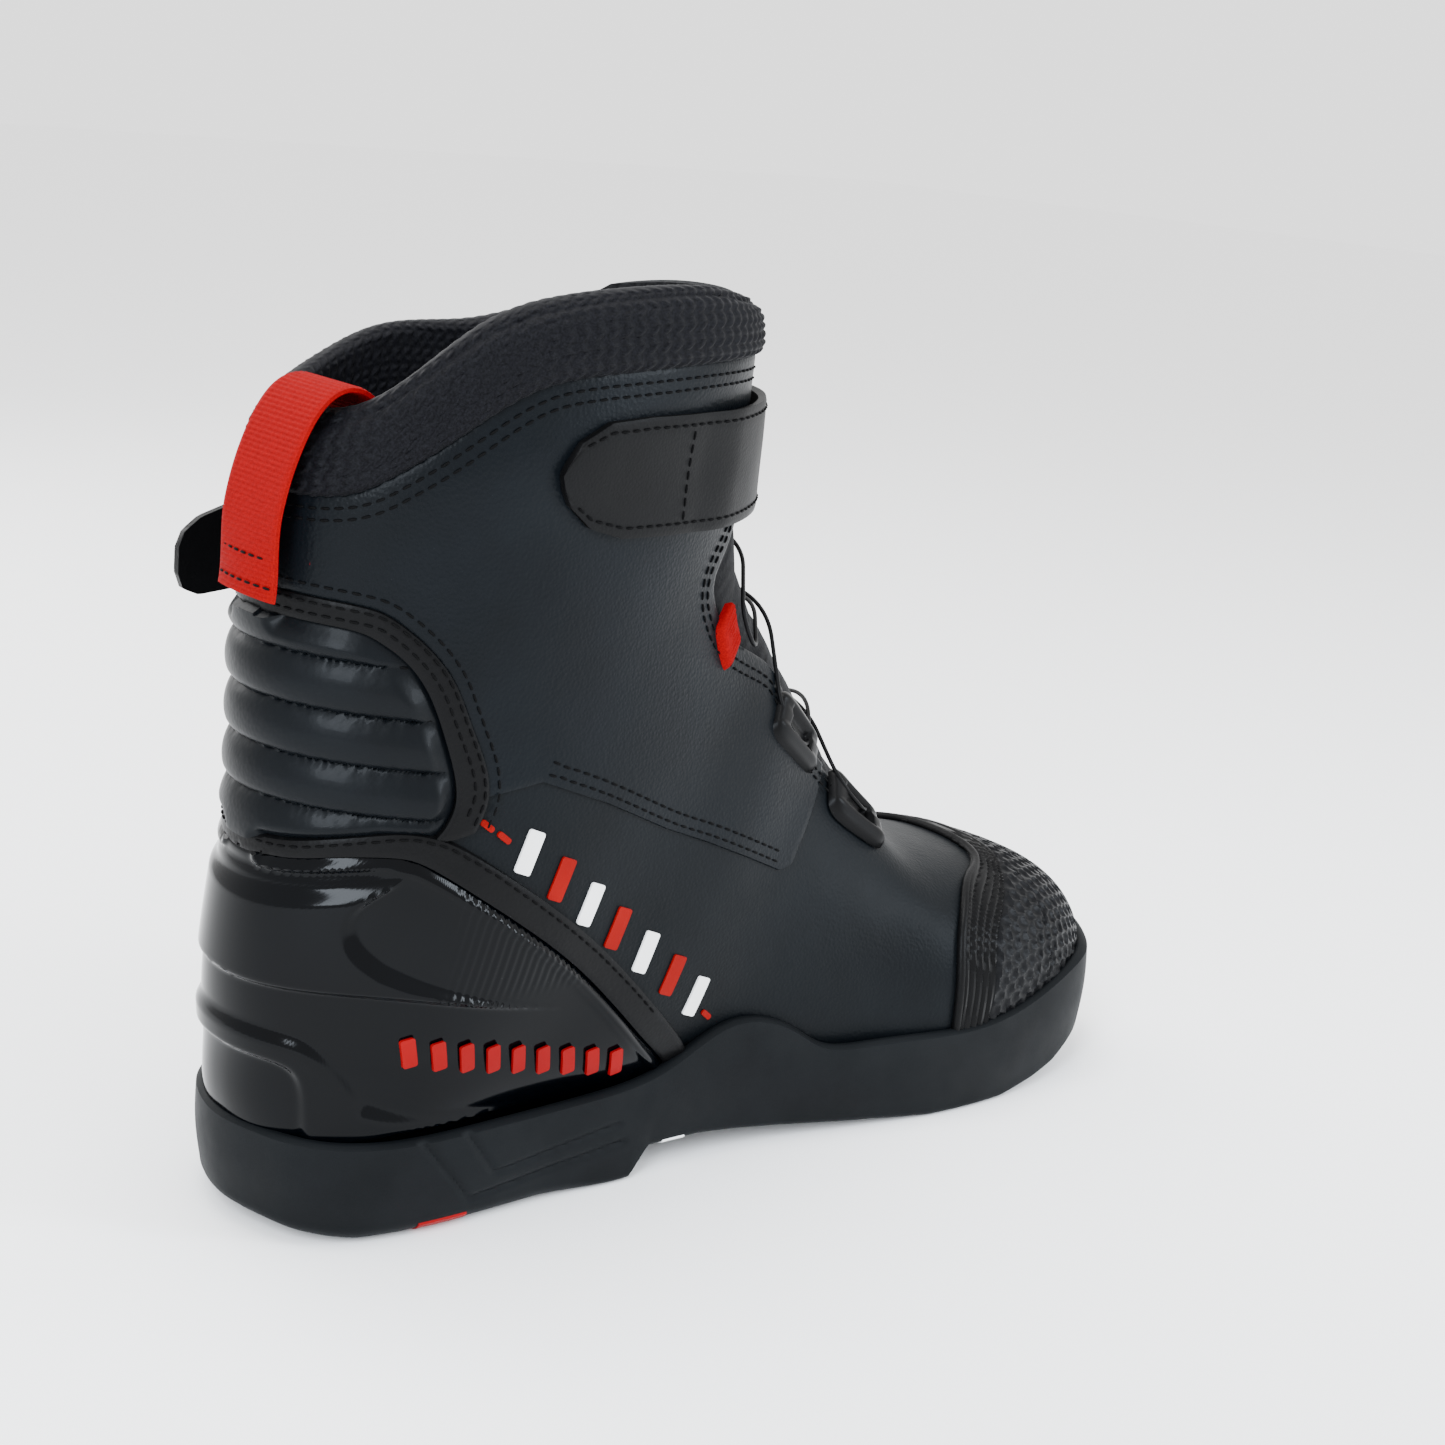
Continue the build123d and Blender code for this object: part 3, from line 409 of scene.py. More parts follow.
def slab(name, rings, material, sharp=50):
    """Closed piece from rings of points, with flat ends."""
    count, ring = rings.shape[:2]
    faces = [face[::-1] for face in grid_faces(count, ring)]
    last = (count - 1) * ring
    for k in range(ring // 2 - 1):
        faces.append((k, k + 1, ring - 2 - k, ring - 1 - k))
        faces.append((last + k + 1, last + k, last + ring - 1 - k, last + ring - 2 - k))
    return new_object(name, rings.reshape(-1, 3), faces, material, sharp=sharp)


def finish_piece(piece, body="boot", nodes=()):
    """Attaches a finished piece to its body and hides the CAD nodes it stands for."""
    if body:
        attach(piece, body)
    if nodes:
        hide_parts(*nodes)
    return piece


def border_points(loop, side, height):
    """Outline points on the form, with the stretches beyond the silhouette left out."""
    kept = []
    for one in (SIDES if side == BOTH else (side,)):
        u, v, miss = locate_side(loop, one, height)
        good = miss < 0.9
        kept.append(np.stack([u[good], v[good]], 1))
    return np.concatenate(kept)


def dense_border(places):
    """Extra places between neighbours on the border, for close snapping."""
    a, b = places[:-1], places[1:]
    close = np.linalg.norm(skin(a[:, 0], a[:, 1], 2.0) - skin(b[:, 0], b[:, 1], 2.0), axis=1) < 0.003
    a, b = a[close], b[close]
    return np.concatenate([a + (b - a) * share for share in (0, 0.25, 0.5, 0.75)])


def panel(name, loop, side, base, thick, material, u_range, v_range, step=1.0,
          relief=None, hole=None, edge=0.9, smooth_edge=0.35, sink=0.4):
    """Sheet laid on the form inside a side-view outline, with a rolled cut edge.

    base is the height of the sheet's underside and thick its thickness. relief(y, z, d, u, v)
    adds height, where d is the distance from the border in millimetres. hole(points) says
    which points of the form are cut away.
    """
    mid_u = np.linspace(*u_range, 24)
    mid_v = np.full(24, sum(v_range) / 2)
    length_u = np.linalg.norm(np.diff(skin(mid_u, mid_v, base), axis=0), axis=1).sum() / MM
    across_v = np.linspace(*v_range, 48)
    across_u = np.full(48, sum(u_range) / 2)
    length_v = np.linalg.norm(np.diff(skin(across_u, across_v, base), axis=0), axis=1).sum() / MM
    nu, nv = int(length_u / step) + 2, int(length_v / step) + 2
    u, v = np.meshgrid(np.linspace(*u_range, nu), np.linspace(*v_range, nv), indexing="ij")
    low = skin(u, v, base)
    keep = inside(low[..., 1:] / MM, loop)
    if hole is not None:
        keep &= ~hole(low / MM)
    places = dense_border(border_points(loop, side, base))
    if hole is not None:
        places = np.concatenate([places, hole_border(hole, u, v, low)])
        on_border = skin(places[:, 0], places[:, 1], base) / MM
        gone = hole(on_border) & ~near_edge(hole, places, base)
        places = places[~gone]
    rim = skin(places[:, 0], places[:, 1], base)
    tree = kdtree.KDTree(len(rim))
    for index, point in enumerate(rim):
        tree.insert(point, index)
    tree.balance()
    quads = keep[:-1, :-1] | keep[1:, :-1] | keep[:-1, 1:] | keep[1:, 1:]
    used = np.zeros_like(keep)
    used[:-1, :-1] |= quads
    used[1:, :-1] |= quads
    used[:-1, 1:] |= quads
    used[1:, 1:] |= quads
    distance = np.full(u.shape, 50.0)
    for i, j in np.argwhere(used):
        _, index, gap = tree.find(low[i, j])
        if keep[i, j]:
            distance[i, j] = gap / MM
        else:
            distance[i, j] = 0.0
            if gap < 4 * step * MM:
                u[i, j] = places[index, 0]
                v[i, j] = places[index, 1] + 2 * round((v[i, j] - places[index, 1]) / 2)
    flat = skin(u, v, base)
    height = base + thick - smooth_edge * (1 - step_up(distance, edge))
    if relief is not None:
        height = height + relief(flat[..., 1] / MM, flat[..., 2] / MM, distance, u, v)
    top = skin(u, v, height)
    number = np.full(u.shape, -1)
    number[used] = np.arange(used.sum())
    a, b = number[:-1, :-1][quads], number[1:, :-1][quads]
    c, d = number[1:, 1:][quads], number[:-1, 1:][quads]
    faces = np.stack([a, d, c, b], 1)
    points = top[used]
    flat_u = u[used]
    flat_v = v[used]
    uv = np.stack([flat_v * 0.14, flat_u * 0.45], 1)
    points, faces, uv = add_rim(points, faces, uv, flat_u, flat_v, base - sink)
    return new_object(name, points, faces, material, uv=uv)


def near_edge(hole, places, base):
    """Which places lie within a step of the edge of a hole."""
    found = np.zeros(len(places), bool)
    for du, dv in ((0.003, 0), (-0.003, 0), (0, 0.008), (0, -0.008)):
        around = skin(places[:, 0] + du, places[:, 1] + dv, base) / MM
        found |= ~hole(around)
    return found


def hole_border(hole, u, v, low):
    """Places on the edge of a hole, found between neighbouring grid points."""
    cut = hole(low / MM)
    found = []
    for axis in (0, 1):
        first = np.take(cut, range(cut.shape[axis] - 1), axis)
        second = np.take(cut, range(1, cut.shape[axis]), axis)
        change = np.argwhere(first != second)
        after = change.copy()
        after[:, axis] += 1
        inner = np.stack([u[tuple(change.T)], v[tuple(change.T)]], 1)
        outer = np.stack([u[tuple(after.T)], v[tuple(after.T)]], 1)
        swap = cut[tuple(change.T)]
        a = np.where(swap[:, None], outer, inner)
        b = np.where(swap[:, None], inner, outer)
        for _ in range(12):
            middle = (a + b) / 2
            within = hole(skin(middle[:, 0], middle[:, 1], 2.0) / MM)
            b = np.where(within[:, None], middle, b)
            a = np.where(within[:, None], a, middle)
        found.append((a + b) / 2)
    return np.concatenate(found)


def add_rim(points, faces, uv, u, v, floor):
    """Turns the free edge of a sheet down to a height below it."""
    edges = {}
    for face in faces:
        for start, end in zip(face, np.roll(face, -1)):
            if (end, start) in edges:
                del edges[(end, start)]
            else:
                edges[(int(start), int(end))] = True
    border = sorted({vertex for pair in edges for vertex in pair})
    lookup = {vertex: len(points) + k for k, vertex in enumerate(border)}
    lower = skin(u[border], v[border], np.full(len(border), floor))
    skirt = [(end, start, lookup[start], lookup[end]) for start, end in edges]
    points = np.concatenate([points, lower])
    uv = np.concatenate([uv, uv[border]])
    faces = [tuple(face) for face in faces] + skirt
    return points, faces, uv


STITCH = 2.3
STITCH_GAP = 1.1
STITCH_RADIUS = 0.34
STITCH_SIDES = 6
STITCH_AHEAD = 0.0012    # metres along the seam, for its direction
# share of the length from the middle, and share of the radius there
STITCH_SHAPE = ((-0.5, 0.25), (-0.38, 0.85), (0.0, 1.0), (0.38, 0.85), (0.5, 0.25))


def read_path(path, walked, place):
    """Point of a path at a distance along it."""
    return np.array([np.interp(place, walked, path[:, k]) for k in range(3)])


def place_stitches(name, runs, body="boot", slot="leather_upper"):
    """Rows of thread stitches. Each run is (points, normals) along the seam, in metres."""
    points, faces = [], []
    pitch = (STITCH + STITCH_GAP) * MM
    for path, normals in runs:
        walked = np.concatenate(([0], np.cumsum(np.linalg.norm(np.diff(path, axis=0), axis=1))))
        for centre in np.arange(pitch / 2, walked[-1] - pitch / 3, pitch):
            here = read_path(path, walked, centre)
            along = read_path(path, walked, centre + STITCH_AHEAD)
            along -= read_path(path, walked, centre - STITCH_AHEAD)
            if np.linalg.norm(along) < 1e-7:
                continue
            along /= np.linalg.norm(along)
            out = read_path(normals, walked, centre)
            out -= along * (out @ along)
            out /= np.linalg.norm(out) + 1e-12
            across = np.cross(along, out)
            first = len(points)
            for reach, size in STITCH_SHAPE:
                for k in range(STITCH_SIDES):
                    turn = 2 * math.pi * k / STITCH_SIDES
                    round_way = across * math.cos(turn) + out * (math.sin(turn) * 0.8)
                    middle = here + along * reach * STITCH * MM
                    arch = out * (1 - abs(reach) * 1.4) * 0.12 * MM
                    points.append(middle + round_way * STITCH_RADIUS * size * MM + arch)
            faces += grid_faces(len(STITCH_SHAPE), STITCH_SIDES, first)
            last = first + (len(STITCH_SHAPE) - 1) * STITCH_SIDES
            faces.append(tuple(first + k for k in reversed(range(STITCH_SIDES))))
            faces.append(tuple(last + k for k in range(STITCH_SIDES)))
    piece = new_object(name, points, faces, THREAD, sharp=80)
    return finish_piece(piece, body)


def seam(line, side, height, inset=0.0, hole=None):
    """Path of a seam on the form, moved sideways in the side view's sense by an inset."""
    u, v, miss = locate_side(even(line, 1.2), side, height)
    good = miss < 0.8
    u, v = u[good], v[good]
    here, normal, _, _ = skin_frame(u, v, np.full(len(u), float(height)))
    if inset:
        along = np.gradient(here, axis=0)
        across = np.cross(normal, along)
        across /= np.linalg.norm(across, axis=1, keepdims=True) + 1e-12
        moved = here + across * (inset * MM)
        u, v = locate(moved, height)
        here, normal, _, _ = skin_frame(u, v, np.full(len(u), float(height)))
    if hole is not None:
        good = ~hole(here / MM)
        here, normal = here[good], normal[good]
    return here, normal


# ---- materials ------------------------------------------------------------------------

def blank_material(name, rough, specular, coat=0.0, sheen=0.0):
    """New material and its shader, with the steady numbers on the shader's own sockets."""
    made = bpy.data.materials.new(name)
    made.use_nodes = True
    shader = made.node_tree.nodes["Principled BSDF"]
    shader.inputs["Roughness"].default_value = rough
    shader.inputs["Coat Weight"].default_value = coat
    shader.inputs["Coat Roughness"].default_value = 0.08
    shader.inputs["Sheen Weight"].default_value = sheen
    shader.inputs["Sheen Roughness"].default_value = 0.4
    shader.inputs["Sheen Tint"].default_value = (*WHITE, 1)
    shader.inputs["Specular IOR Level"].default_value = specular
    return made, made.node_tree, shader


def node(tree, kind, **settings):
    """Adds a node, setting its properties and the sockets named in settings."""
    made = tree.nodes.new(kind)
    for key, value in settings.items():
        if key in made.inputs:
            made.inputs[key].default_value = value
        else:
            setattr(made, key, value)
    return made


def two_tone(tree, shader, low, high, source, start=0.35, stop=0.65):
    """Base colour that wanders between two tones."""
    ramp = node(tree, "ShaderNodeValToRGB")
    ramp.color_ramp.elements[0].position = start
    ramp.color_ramp.elements[1].position = stop
    ramp.color_ramp.elements[0].color = (*low, 1)
    ramp.color_ramp.elements[1].color = (*high, 1)
    tree.links.new(source, ramp.inputs["Fac"])
    tree.links.new(ramp.outputs["Color"], shader.inputs["Base Color"])


def vary_roughness(tree, shader, source, low, high):
    """Roughness that wanders between two values."""
    spread = node(tree, "ShaderNodeMapRange")
    spread.inputs["To Min"].default_value = low
    spread.inputs["To Max"].default_value = high
    tree.links.new(source, spread.inputs["Value"])
    tree.links.new(spread.outputs["Result"], shader.inputs["Roughness"])


def bump(tree, shader, source, depth, strength=1.0, before=None):
    """Adds a bump of a depth in metres, on top of an earlier one."""
    made = node(tree, "ShaderNodeBump", Strength=strength, Distance=depth)
    tree.links.new(source, made.inputs["Height"])
    if before is not None:
        tree.links.new(before.outputs["Normal"], made.inputs["Normal"])
    tree.links.new(made.outputs["Normal"], shader.inputs["Normal"])
    return made


def object_coordinates(tree):
    return node(tree, "ShaderNodeTexCoord").outputs["Object"]


def noise(tree, where, scale, detail=3.0, roughness=0.55):
    made = node(tree, "ShaderNodeTexNoise", Scale=scale, Detail=detail, Roughness=roughness)
    tree.links.new(where, made.inputs["Vector"])
    return made.outputs["Fac"]


LOW_SPECULAR = 0.07
CLOTH_SPECULAR = 0.05


def leather(name, low, high, rough=(0.38, 0.55), grain=1050.0, depth=0.00016, coat=0.0):
    """Leather with a fine pebble grain, faint wrinkles and uneven sheen."""
    made, tree, shader = blank_material(name, rough[0], LOW_SPECULAR, coat=coat)
    where = object_coordinates(tree)
    cells = node(tree, "ShaderNodeTexVoronoi", feature="SMOOTH_F1", Scale=grain, Smoothness=0.55)
    tree.links.new(where, cells.inputs["Vector"])
    fine = noise(tree, where, grain * 2.2, 2.0)
    folds = noise(tree, where, 60.0, 4.0)
    tone = noise(tree, where, 22.0, 3.0)
    two_tone(tree, shader, low, high, tone)
    vary_roughness(tree, shader, folds, *rough)
    first = bump(tree, shader, cells.outputs["Distance"], depth, 0.55)
    second = bump(tree, shader, fine, depth * 0.4, 0.4, first)
    bump(tree, shader, folds, 0.0006, 0.25, second)
    return made


def smooth_plastic(name, low, high, rough, grain=None, depth=0.00006, specular=LOW_SPECULAR):
    """Moulded plastic or rubber with faint unevenness and an optional fine texture."""
    made, tree, shader = blank_material(name, rough, specular)
    where = object_coordinates(tree)
    wide = noise(tree, where, 30.0, 3.0)
    two_tone(tree, shader, low, high, wide)
    vary_roughness(tree, shader, noise(tree, where, 90.0, 4.0), rough * 0.8, rough * 1.25)
    first = bump(tree, shader, wide, 0.0003, 0.15)
    if grain:
        bump(tree, shader, noise(tree, where, grain, 2.0), depth, 0.5, first)
    return made


def cloth(name, low, high, thread, depth, sheen, rough):
    """Cloth with crossing threads and a little fuzz."""
    made, tree, shader = blank_material(name, rough, CLOTH_SPECULAR, sheen=sheen)
    where = object_coordinates(tree)
    first_wave = node(tree, "ShaderNodeTexWave", wave_type="BANDS", bands_direction="DIAGONAL",
                      Scale=thread * 0.16, Distortion=1.2, Detail=1.0)
    tree.links.new(where, first_wave.inputs["Vector"])
    fuzz = noise(tree, where, thread * 1.5, 3.0)
    two_tone(tree, shader, low, high, fuzz, 0.3, 0.75)
    first = bump(tree, shader, first_wave.outputs["Fac"], depth, 0.5)
    bump(tree, shader, fuzz, depth * 0.8, 0.6, first)
    return made


BLACK_LEATHER = leather("leather_vamp", (0.0014, 0.0021, 0.0028), (0.0024, 0.0034, 0.0044))
SHAFT_LEATHER = leather("leather_shaft", (0.0015, 0.0023, 0.0032), (0.0026, 0.0038, 0.0052),
                        (0.30, 0.46))
SMOOTH_LEATHER = leather("leather_ribs", (0.0011, 0.0016, 0.0022), (0.0020, 0.0028, 0.0038),
                         (0.34, 0.46), 700.0, 0.00007, coat=0.02)
TRIM_LEATHER = leather("leather_trim", (0.0015, 0.0015, 0.0017), (0.0025, 0.0025, 0.0027),
                       (0.32, 0.5), 900.0, 0.00009)
STRAP_LEATHER = leather("leather_strap", (0.0013, 0.0013, 0.0014), (0.0023, 0.0023, 0.0025),
                        (0.4, 0.55), 1300.0, 0.0001)
RUBBER = smooth_plastic("rubber_sole", (0.0022, 0.0028, 0.0034), (0.0036, 0.0044, 0.0052), 0.55,
                        grain=2200.0, depth=0.00008)
GLOSS = smooth_plastic("plastic_counter", (0.0002, 0.0004, 0.0008), (0.0004, 0.0007, 0.0012), 0.12,
                       specular=0.09)
MATT_PLASTIC = smooth_plastic("plastic_guides", (0.0015, 0.0015, 0.0017),
                              (0.0026, 0.0026, 0.0028), 0.34, grain=1800.0, depth=0.00004)
TOE_PLASTIC = smooth_plastic("plastic_toe", (0.0020, 0.0021, 0.0026), (0.0036, 0.0038, 0.0045),
                             0.36, grain=1600.0, depth=0.00005)
RED_TONES = (0.17, 0.0, 0.0010), (0.21, 0.0, 0.0016)
RED_RUBBER = smooth_plastic("rubber_red", *RED_TONES, 0.5, grain=1500.0)
RED_MARK = smooth_plastic("marks_red", *RED_TONES, 0.45)
RED_PRINT = smooth_plastic("print_red", (0.16, 0.0006, 0.0), (0.20, 0.0010, 0.0), 0.55,
                           grain=1400.0)
WHITE_PRINT = smooth_plastic("print_white", (0.78, 0.78, 0.77), (0.88, 0.88, 0.87), 0.5,
                             grain=1400.0)
MESH_CLOTH = cloth("knit_collar", (0.0012, 0.0012, 0.0016), (0.0060, 0.0060, 0.0078),
                   1200.0, 0.00015, 0.02, 0.6)
LINING_CLOTH = cloth("cloth_lining", (0.003, 0.003, 0.0034), (0.012, 0.012, 0.013),
                     800.0, 0.0003, 0.05, 0.95)
FOOTBED_CLOTH = cloth("cloth_footbed", (0.01, 0.01, 0.011), (0.025, 0.025, 0.028),
                      900.0, 0.0002, 0.1, 0.9)
WEBBING = cloth("webbing_red", (0.13, 0.0, 0.0006), (0.22, 0.0, 0.0012),
                1500.0, 0.00008, 0.0, 0.8)
THREAD = cloth("thread_black", (0.0008, 0.0008, 0.0009), (0.002, 0.002, 0.0022),
               2500.0, 0.00005, 0.0, 0.7)
CABLE = smooth_plastic("cable_black", (0.0015, 0.0015, 0.0016), (0.004, 0.004, 0.0044), 0.4,
                       grain=4000.0)
STEEL = smooth_plastic("steel", (0.40, 0.40, 0.42), (0.5, 0.5, 0.52), 0.3)

# ---- the lines that divide the upper --------------------------------------------------

TOP_LINE = (
    (150, 204), (136, 207), (124, 217), (109, 231), (91, 238), (70, 241), (47, 242),
    (29, 240), (10, 237), (-20, 233),
)
TOP_LINE_LATERAL = (
    (150, 204), (136, 206), (122, 210), (108, 214.5), (95, 219), (80, 222), (60, 223),
    (45, 226), (29, 230), (10, 232), (-20, 233),
)
LEATHER_TOP = (
    (152, 188), (136, 190), (127, 195), (118, 202), (108, 210), (99, 216), (87, 220),
    (66, 222), (45, 223), (24, 223), (-20, 222),
)
LEATHER_TOP_LATERAL = (
    (152, 188), (136, 189), (122, 191), (108, 195), (95, 200), (80, 204), (60, 207),
    (45, 210), (24, 215), (-20, 220),
)
THROAT_EDGE = (
    (15, 262), (15, 240), (14, 222), (12, 198), (16, 178), (25, 167), (25, 158),
    (14, 146), (-5, 136), (-13, 124), (-22, 112), (-34, 101), (-46, 90), (-62, 76),
    (-80, 64), (-100, 50),
)
SHAFT_LOW = (
    (101, 126), (85, 120), (65, 112), (42, 101), (27, 95), (11, 88), (-4, 81), (-9, 81.5),
    (-11, 84), (-18, 92), (-30, 104),
)
PAD_ARCH = (
    (152, 167), (132, 165), (124, 162), (117, 156), (110, 147), (105, 136), (101, 126),
    (100, 117), (103, 109),
)
PAD_INNER = (
    (152, 161), (134, 159.5), (127, 157), (121, 152), (115.5, 144), (111.5, 134),
    (108.5, 124), (108, 116), (110.5, 110),
)
COUNTER_OUT = (
    (155, 104), (143, 105), (135, 107), (124, 109), (117, 109), (110, 107), (100, 101),
    (82, 88), (60, 70), (40, 50), (24, 32), (20, 15),
)
COUNTER_IN = (
    (155, 101), (143, 101), (133, 103), (122, 103.5), (114, 101), (101, 92), (82, 78),
    (63, 62), (44, 43), (30, 29), (25, 15),
)
SOLE_TOP = (
    (156, 30), (120, 28), (90, 28), (60, 28), (34, 31), (12, 40), (-8, 36), (-22, 28),
    (-45, 27), (-80, 27), (-108, 33), (-130, 39), (-160, 42),
)
TOE_BAND_REAR = ((-108, 80), (-103, 68), (-86, 65), (-73, 57), (-68, 41), (-69, 5))
TOE_BAND_FRONT = ((-122, 80), (-118, 68), (-104, 63), (-89, 55), (-82, 42), (-80, 5))
# Half width of the lacing gap at each y.
THROAT_WIDTH = ((-72, 0), (-70, 7), (-65, 12), (-56, 17), (-42, 22), (-26, 27), (-5, 32), (60, 32))

# Side-view lines that lie wholly beyond the boot.
FAR_FRONT = -200
FAR_REAR = 160
FAR_DOWN = 10
THROAT_LOOP = outline(smooth(THROAT_EDGE), [(FAR_FRONT, 50), (FAR_FRONT, 262)])


def in_throat(points):
    """Which points, in millimetres, lie in the lacing gap."""
    y, half = np.array(THROAT_WIDTH, float).T
    wide = np.interp(points[..., 1], y, half, left=0)
    return inside(points[..., 1:], THROAT_LOOP) & (np.abs(points[..., 0]) < wide)


LEATHER_RIM = {MEDIAL: LEATHER_TOP, LATERAL: LEATHER_TOP_LATERAL}
COLLAR_RIM = {MEDIAL: TOP_LINE, LATERAL: TOP_LINE_LATERAL}

# ---- leather upper --------------------------------------------------------------------


def make_vamp():
    """Leather of the vamp and the quarters, one skin from the toe to the leather's top."""
    rim = smooth(LEATHER_TOP_LATERAL) - (0, 3)
    loop = outline(rim, [(FAR_FRONT, 217), (FAR_FRONT, FAR_DOWN), (FAR_REAR, FAR_DOWN), (FAR_REAR, 185)])
    piece = panel("vamp_leather", loop, BOTH, 0.6, 1.4, BLACK_LEATHER, (0.0, 1.0), (-1.0, 1.0),
                  step=1.3, hole=in_throat)
    finish_piece(piece, "boot", ("vamp", "quarter_medial", "quarter_lateral"))


def make_shaft(side):
    """Overlay of thicker leather round the ankle on one side."""
    rim = smooth(LEATHER_RIM[side])[::-1]
    loop = outline(smooth(PAD_ARCH)[:-9], even(SHAFT_LOW[1:]), [(-30, 230)], rim)
    piece = panel("shaft_leather_" + SIDE_NAME[side], loop, side, 2.0, 1.3, SHAFT_LEATHER,
                  (0.25, 1.0), SIDE_RANGE[side], step=1.0, hole=in_throat)
    finish_piece(piece, "boot", ("shaft_panel_" + SIDE_NAME[side],))


make_vamp()
for side in SIDES:
    make_shaft(side)

# ---- rear pad, binding and heel counter -----------------------------------------------

RIB_LEVELS = (168.0, 152.0, 139.5, 127.0, 115.0, 101.0)
RIB_SWELL = 3.4
RIB_SLANT = 0.10
REAR_U = (0.25, 1.0)
REAR_V = (0.35, 1.65)


def rib_height(y, z, d, u, v):
    """Five stuffed ribs that swell between straight seams."""
    level = z + (140 - y) * RIB_SLANT
    swell = np.zeros_like(z)
    for high, low in zip(RIB_LEVELS, RIB_LEVELS[1:]):
        share = (level - low) / (high - low)
        round_rib = np.sqrt(np.clip(1 - (2 * share - 1) ** 2, 0, 1))
        swell = np.where((share >= 0) & (share <= 1), round_rib, swell)
    pull = 0.12 * np.sin(y * 1.9) * (1 - swell)
    return (RIB_SWELL * swell + pull) * step_up(d, 5.0)


def make_rear_pad():
    """Stuffed ribs behind the ankle and the flat trim that frames them."""
    inner = outline(smooth(PAD_INNER), [(113, 107.5), (124, 108), (135, 106), (152, 103)])
    ribs = panel("rear_ribs", inner, BOTH, 2.0, 0.8, SMOOTH_LEATHER, REAR_U, REAR_V,
                 step=0.75, relief=rib_height)
    finish_piece(ribs, "boot", ("rear_rib_pad",))
    outer = outline(smooth(PAD_ARCH), [(108, 107.5), (113, 107)], smooth(PAD_INNER)[::-1])
    trim = panel("rear_trim", outer, BOTH, 2.4, 1.7, TRIM_LEATHER, REAR_U, REAR_V, step=0.8)
    finish_piece(trim, "boot")


FANG = ((158, 92), (136, 95), (121, 98.5), (118, 99.5), (121, 96), (127, 91), (129, 86), (127.5, 81),
        (123, 76.5), (112, 71), (92, 63.5), (73, 58), (95, 62), (118, 67), (137, 69), (158, 69))
TAIL = ((158, 60), (143, 58), (136, 55), (129, 48), (123, 41), (110, 37.5), (92, 34.5),
        (74, 31), (92, 32), (112, 33), (128, 31), (134, 34), (139, 46), (146, 50), (158, 51))
FANG_LOOP = outline(smooth(FANG[:4]), smooth(FANG[3:9]), smooth(FANG[8:12]), smooth(FANG[11:]))
TAIL_LOOP = outline(smooth(TAIL[:5]), smooth(TAIL[4:8]), smooth(TAIL[7:11]), smooth(TAIL[10:]))
COUNTER_CREASE = smooth(((158, 96), (136, 98.5), (118, 102)))
COUNTER_U = (0.2, 0.95)
COUNTER_V = (0.3, 1.7)


def signed_depth(points, loop):
    """Distance from an outline, positive inside it."""
    closed = np.concatenate([loop, loop[:1]])
    gap = line_distance(points, closed)
    return np.where(inside(points, loop), gap, -gap)


def counter_height(y, z, d, u, v):
    """Sculpted wedges and ribs of the moulded heel counter."""
    points = np.stack([y, z], -1)
    lift = 1.9 * step_up(signed_depth(points, FANG_LOOP) + 0.4, 3.2)
    lift += 1.7 * step_up(signed_depth(points, TAIL_LOOP) + 0.4, 2.8)
    lift += 0.9 * np.exp(-(d - 2.2) ** 2 / 1.6)
    lift -= 0.5 * np.exp(-line_distance(points, COUNTER_CREASE) ** 2 / 1.4)
    lift += 8.5 * step_up(50 - z, 26) * step_up(y - 60, 60)
    grooves = 0.10 * np.sin((y + z * 0.25) * 2.6) * step_up(110 - y, 6) * step_up(y - 62, 10)
    return lift + grooves * step_up(z - 62, 6)


def make_counter():
    """Glossy moulded heel counter with its sewn leather binding."""
    cup = outline(smooth(COUNTER_IN), [(158, 10), (158, 101)])
    counter = panel("heel_counter_shell", cup, BOTH, 2.0, 2.2, GLOSS, COUNTER_U, COUNTER_V,
                    step=0.7, relief=counter_height, edge=1.6, smooth_edge=0.9)
    finish_piece(counter, "boot", ("heel_counter",))
    strip = outline(smooth(COUNTER_OUT), [(25, 15)], smooth(COUNTER_IN)[::-1])
    binding = panel("counter_binding_strip", strip, BOTH, 2.6, 1.8, TRIM_LEATHER, COUNTER_U,
                    COUNTER_V, step=0.7)
    finish_piece(binding, "boot", ("counter_binding",))


make_rear_pad()
make_counter()

# ---- toe ------------------------------------------------------------------------------

HEX_CELL = 3.9


def hex_net(a, b, cell):
    """Raised honeycomb net: 1 on its cords and 0 inside its cells."""
    k = 2 * math.pi / cell
    slant = b * 0.866
    waves = np.cos(k * a) + np.cos(k * (a / 2 + slant)) + np.cos(k * (a / 2 - slant))
    return 1 - step_up(waves + 0.9, 1.1)


def toe_height(y, z, d, u, v):
    """Honeycomb of the toe cap, laid out along and round the toe."""
    flat = skin(u, v, np.full(u.shape, 2.0)) / MM
    along = np.cumsum(np.linalg.norm(np.diff(flat, axis=0, prepend=flat[:1]), axis=2), axis=0)
    around = np.cumsum(np.linalg.norm(np.diff(flat, axis=1, prepend=flat[:, :1]), axis=2), axis=1)
    around -= around[:, around.shape[1] // 2:around.shape[1] // 2 + 1]
    return 0.62 * hex_net(along[-1:] - along, around, HEX_CELL) * step_up(d, 1.5)


def band_height(y, z, d, u, v):
    """Ridges across the flex band behind the toe cap."""
    points = np.stack([y, z], -1)
    behind = line_distance(points, smooth(TOE_BAND_REAR))
    ahead = line_distance(points, smooth(TOE_BAND_FRONT))
    share = behind / (behind + ahead + 1e-6)
    return 1.1 * np.abs(np.sin(share * 5 * math.pi)) ** 0.7 * step_up(d, 0.8)


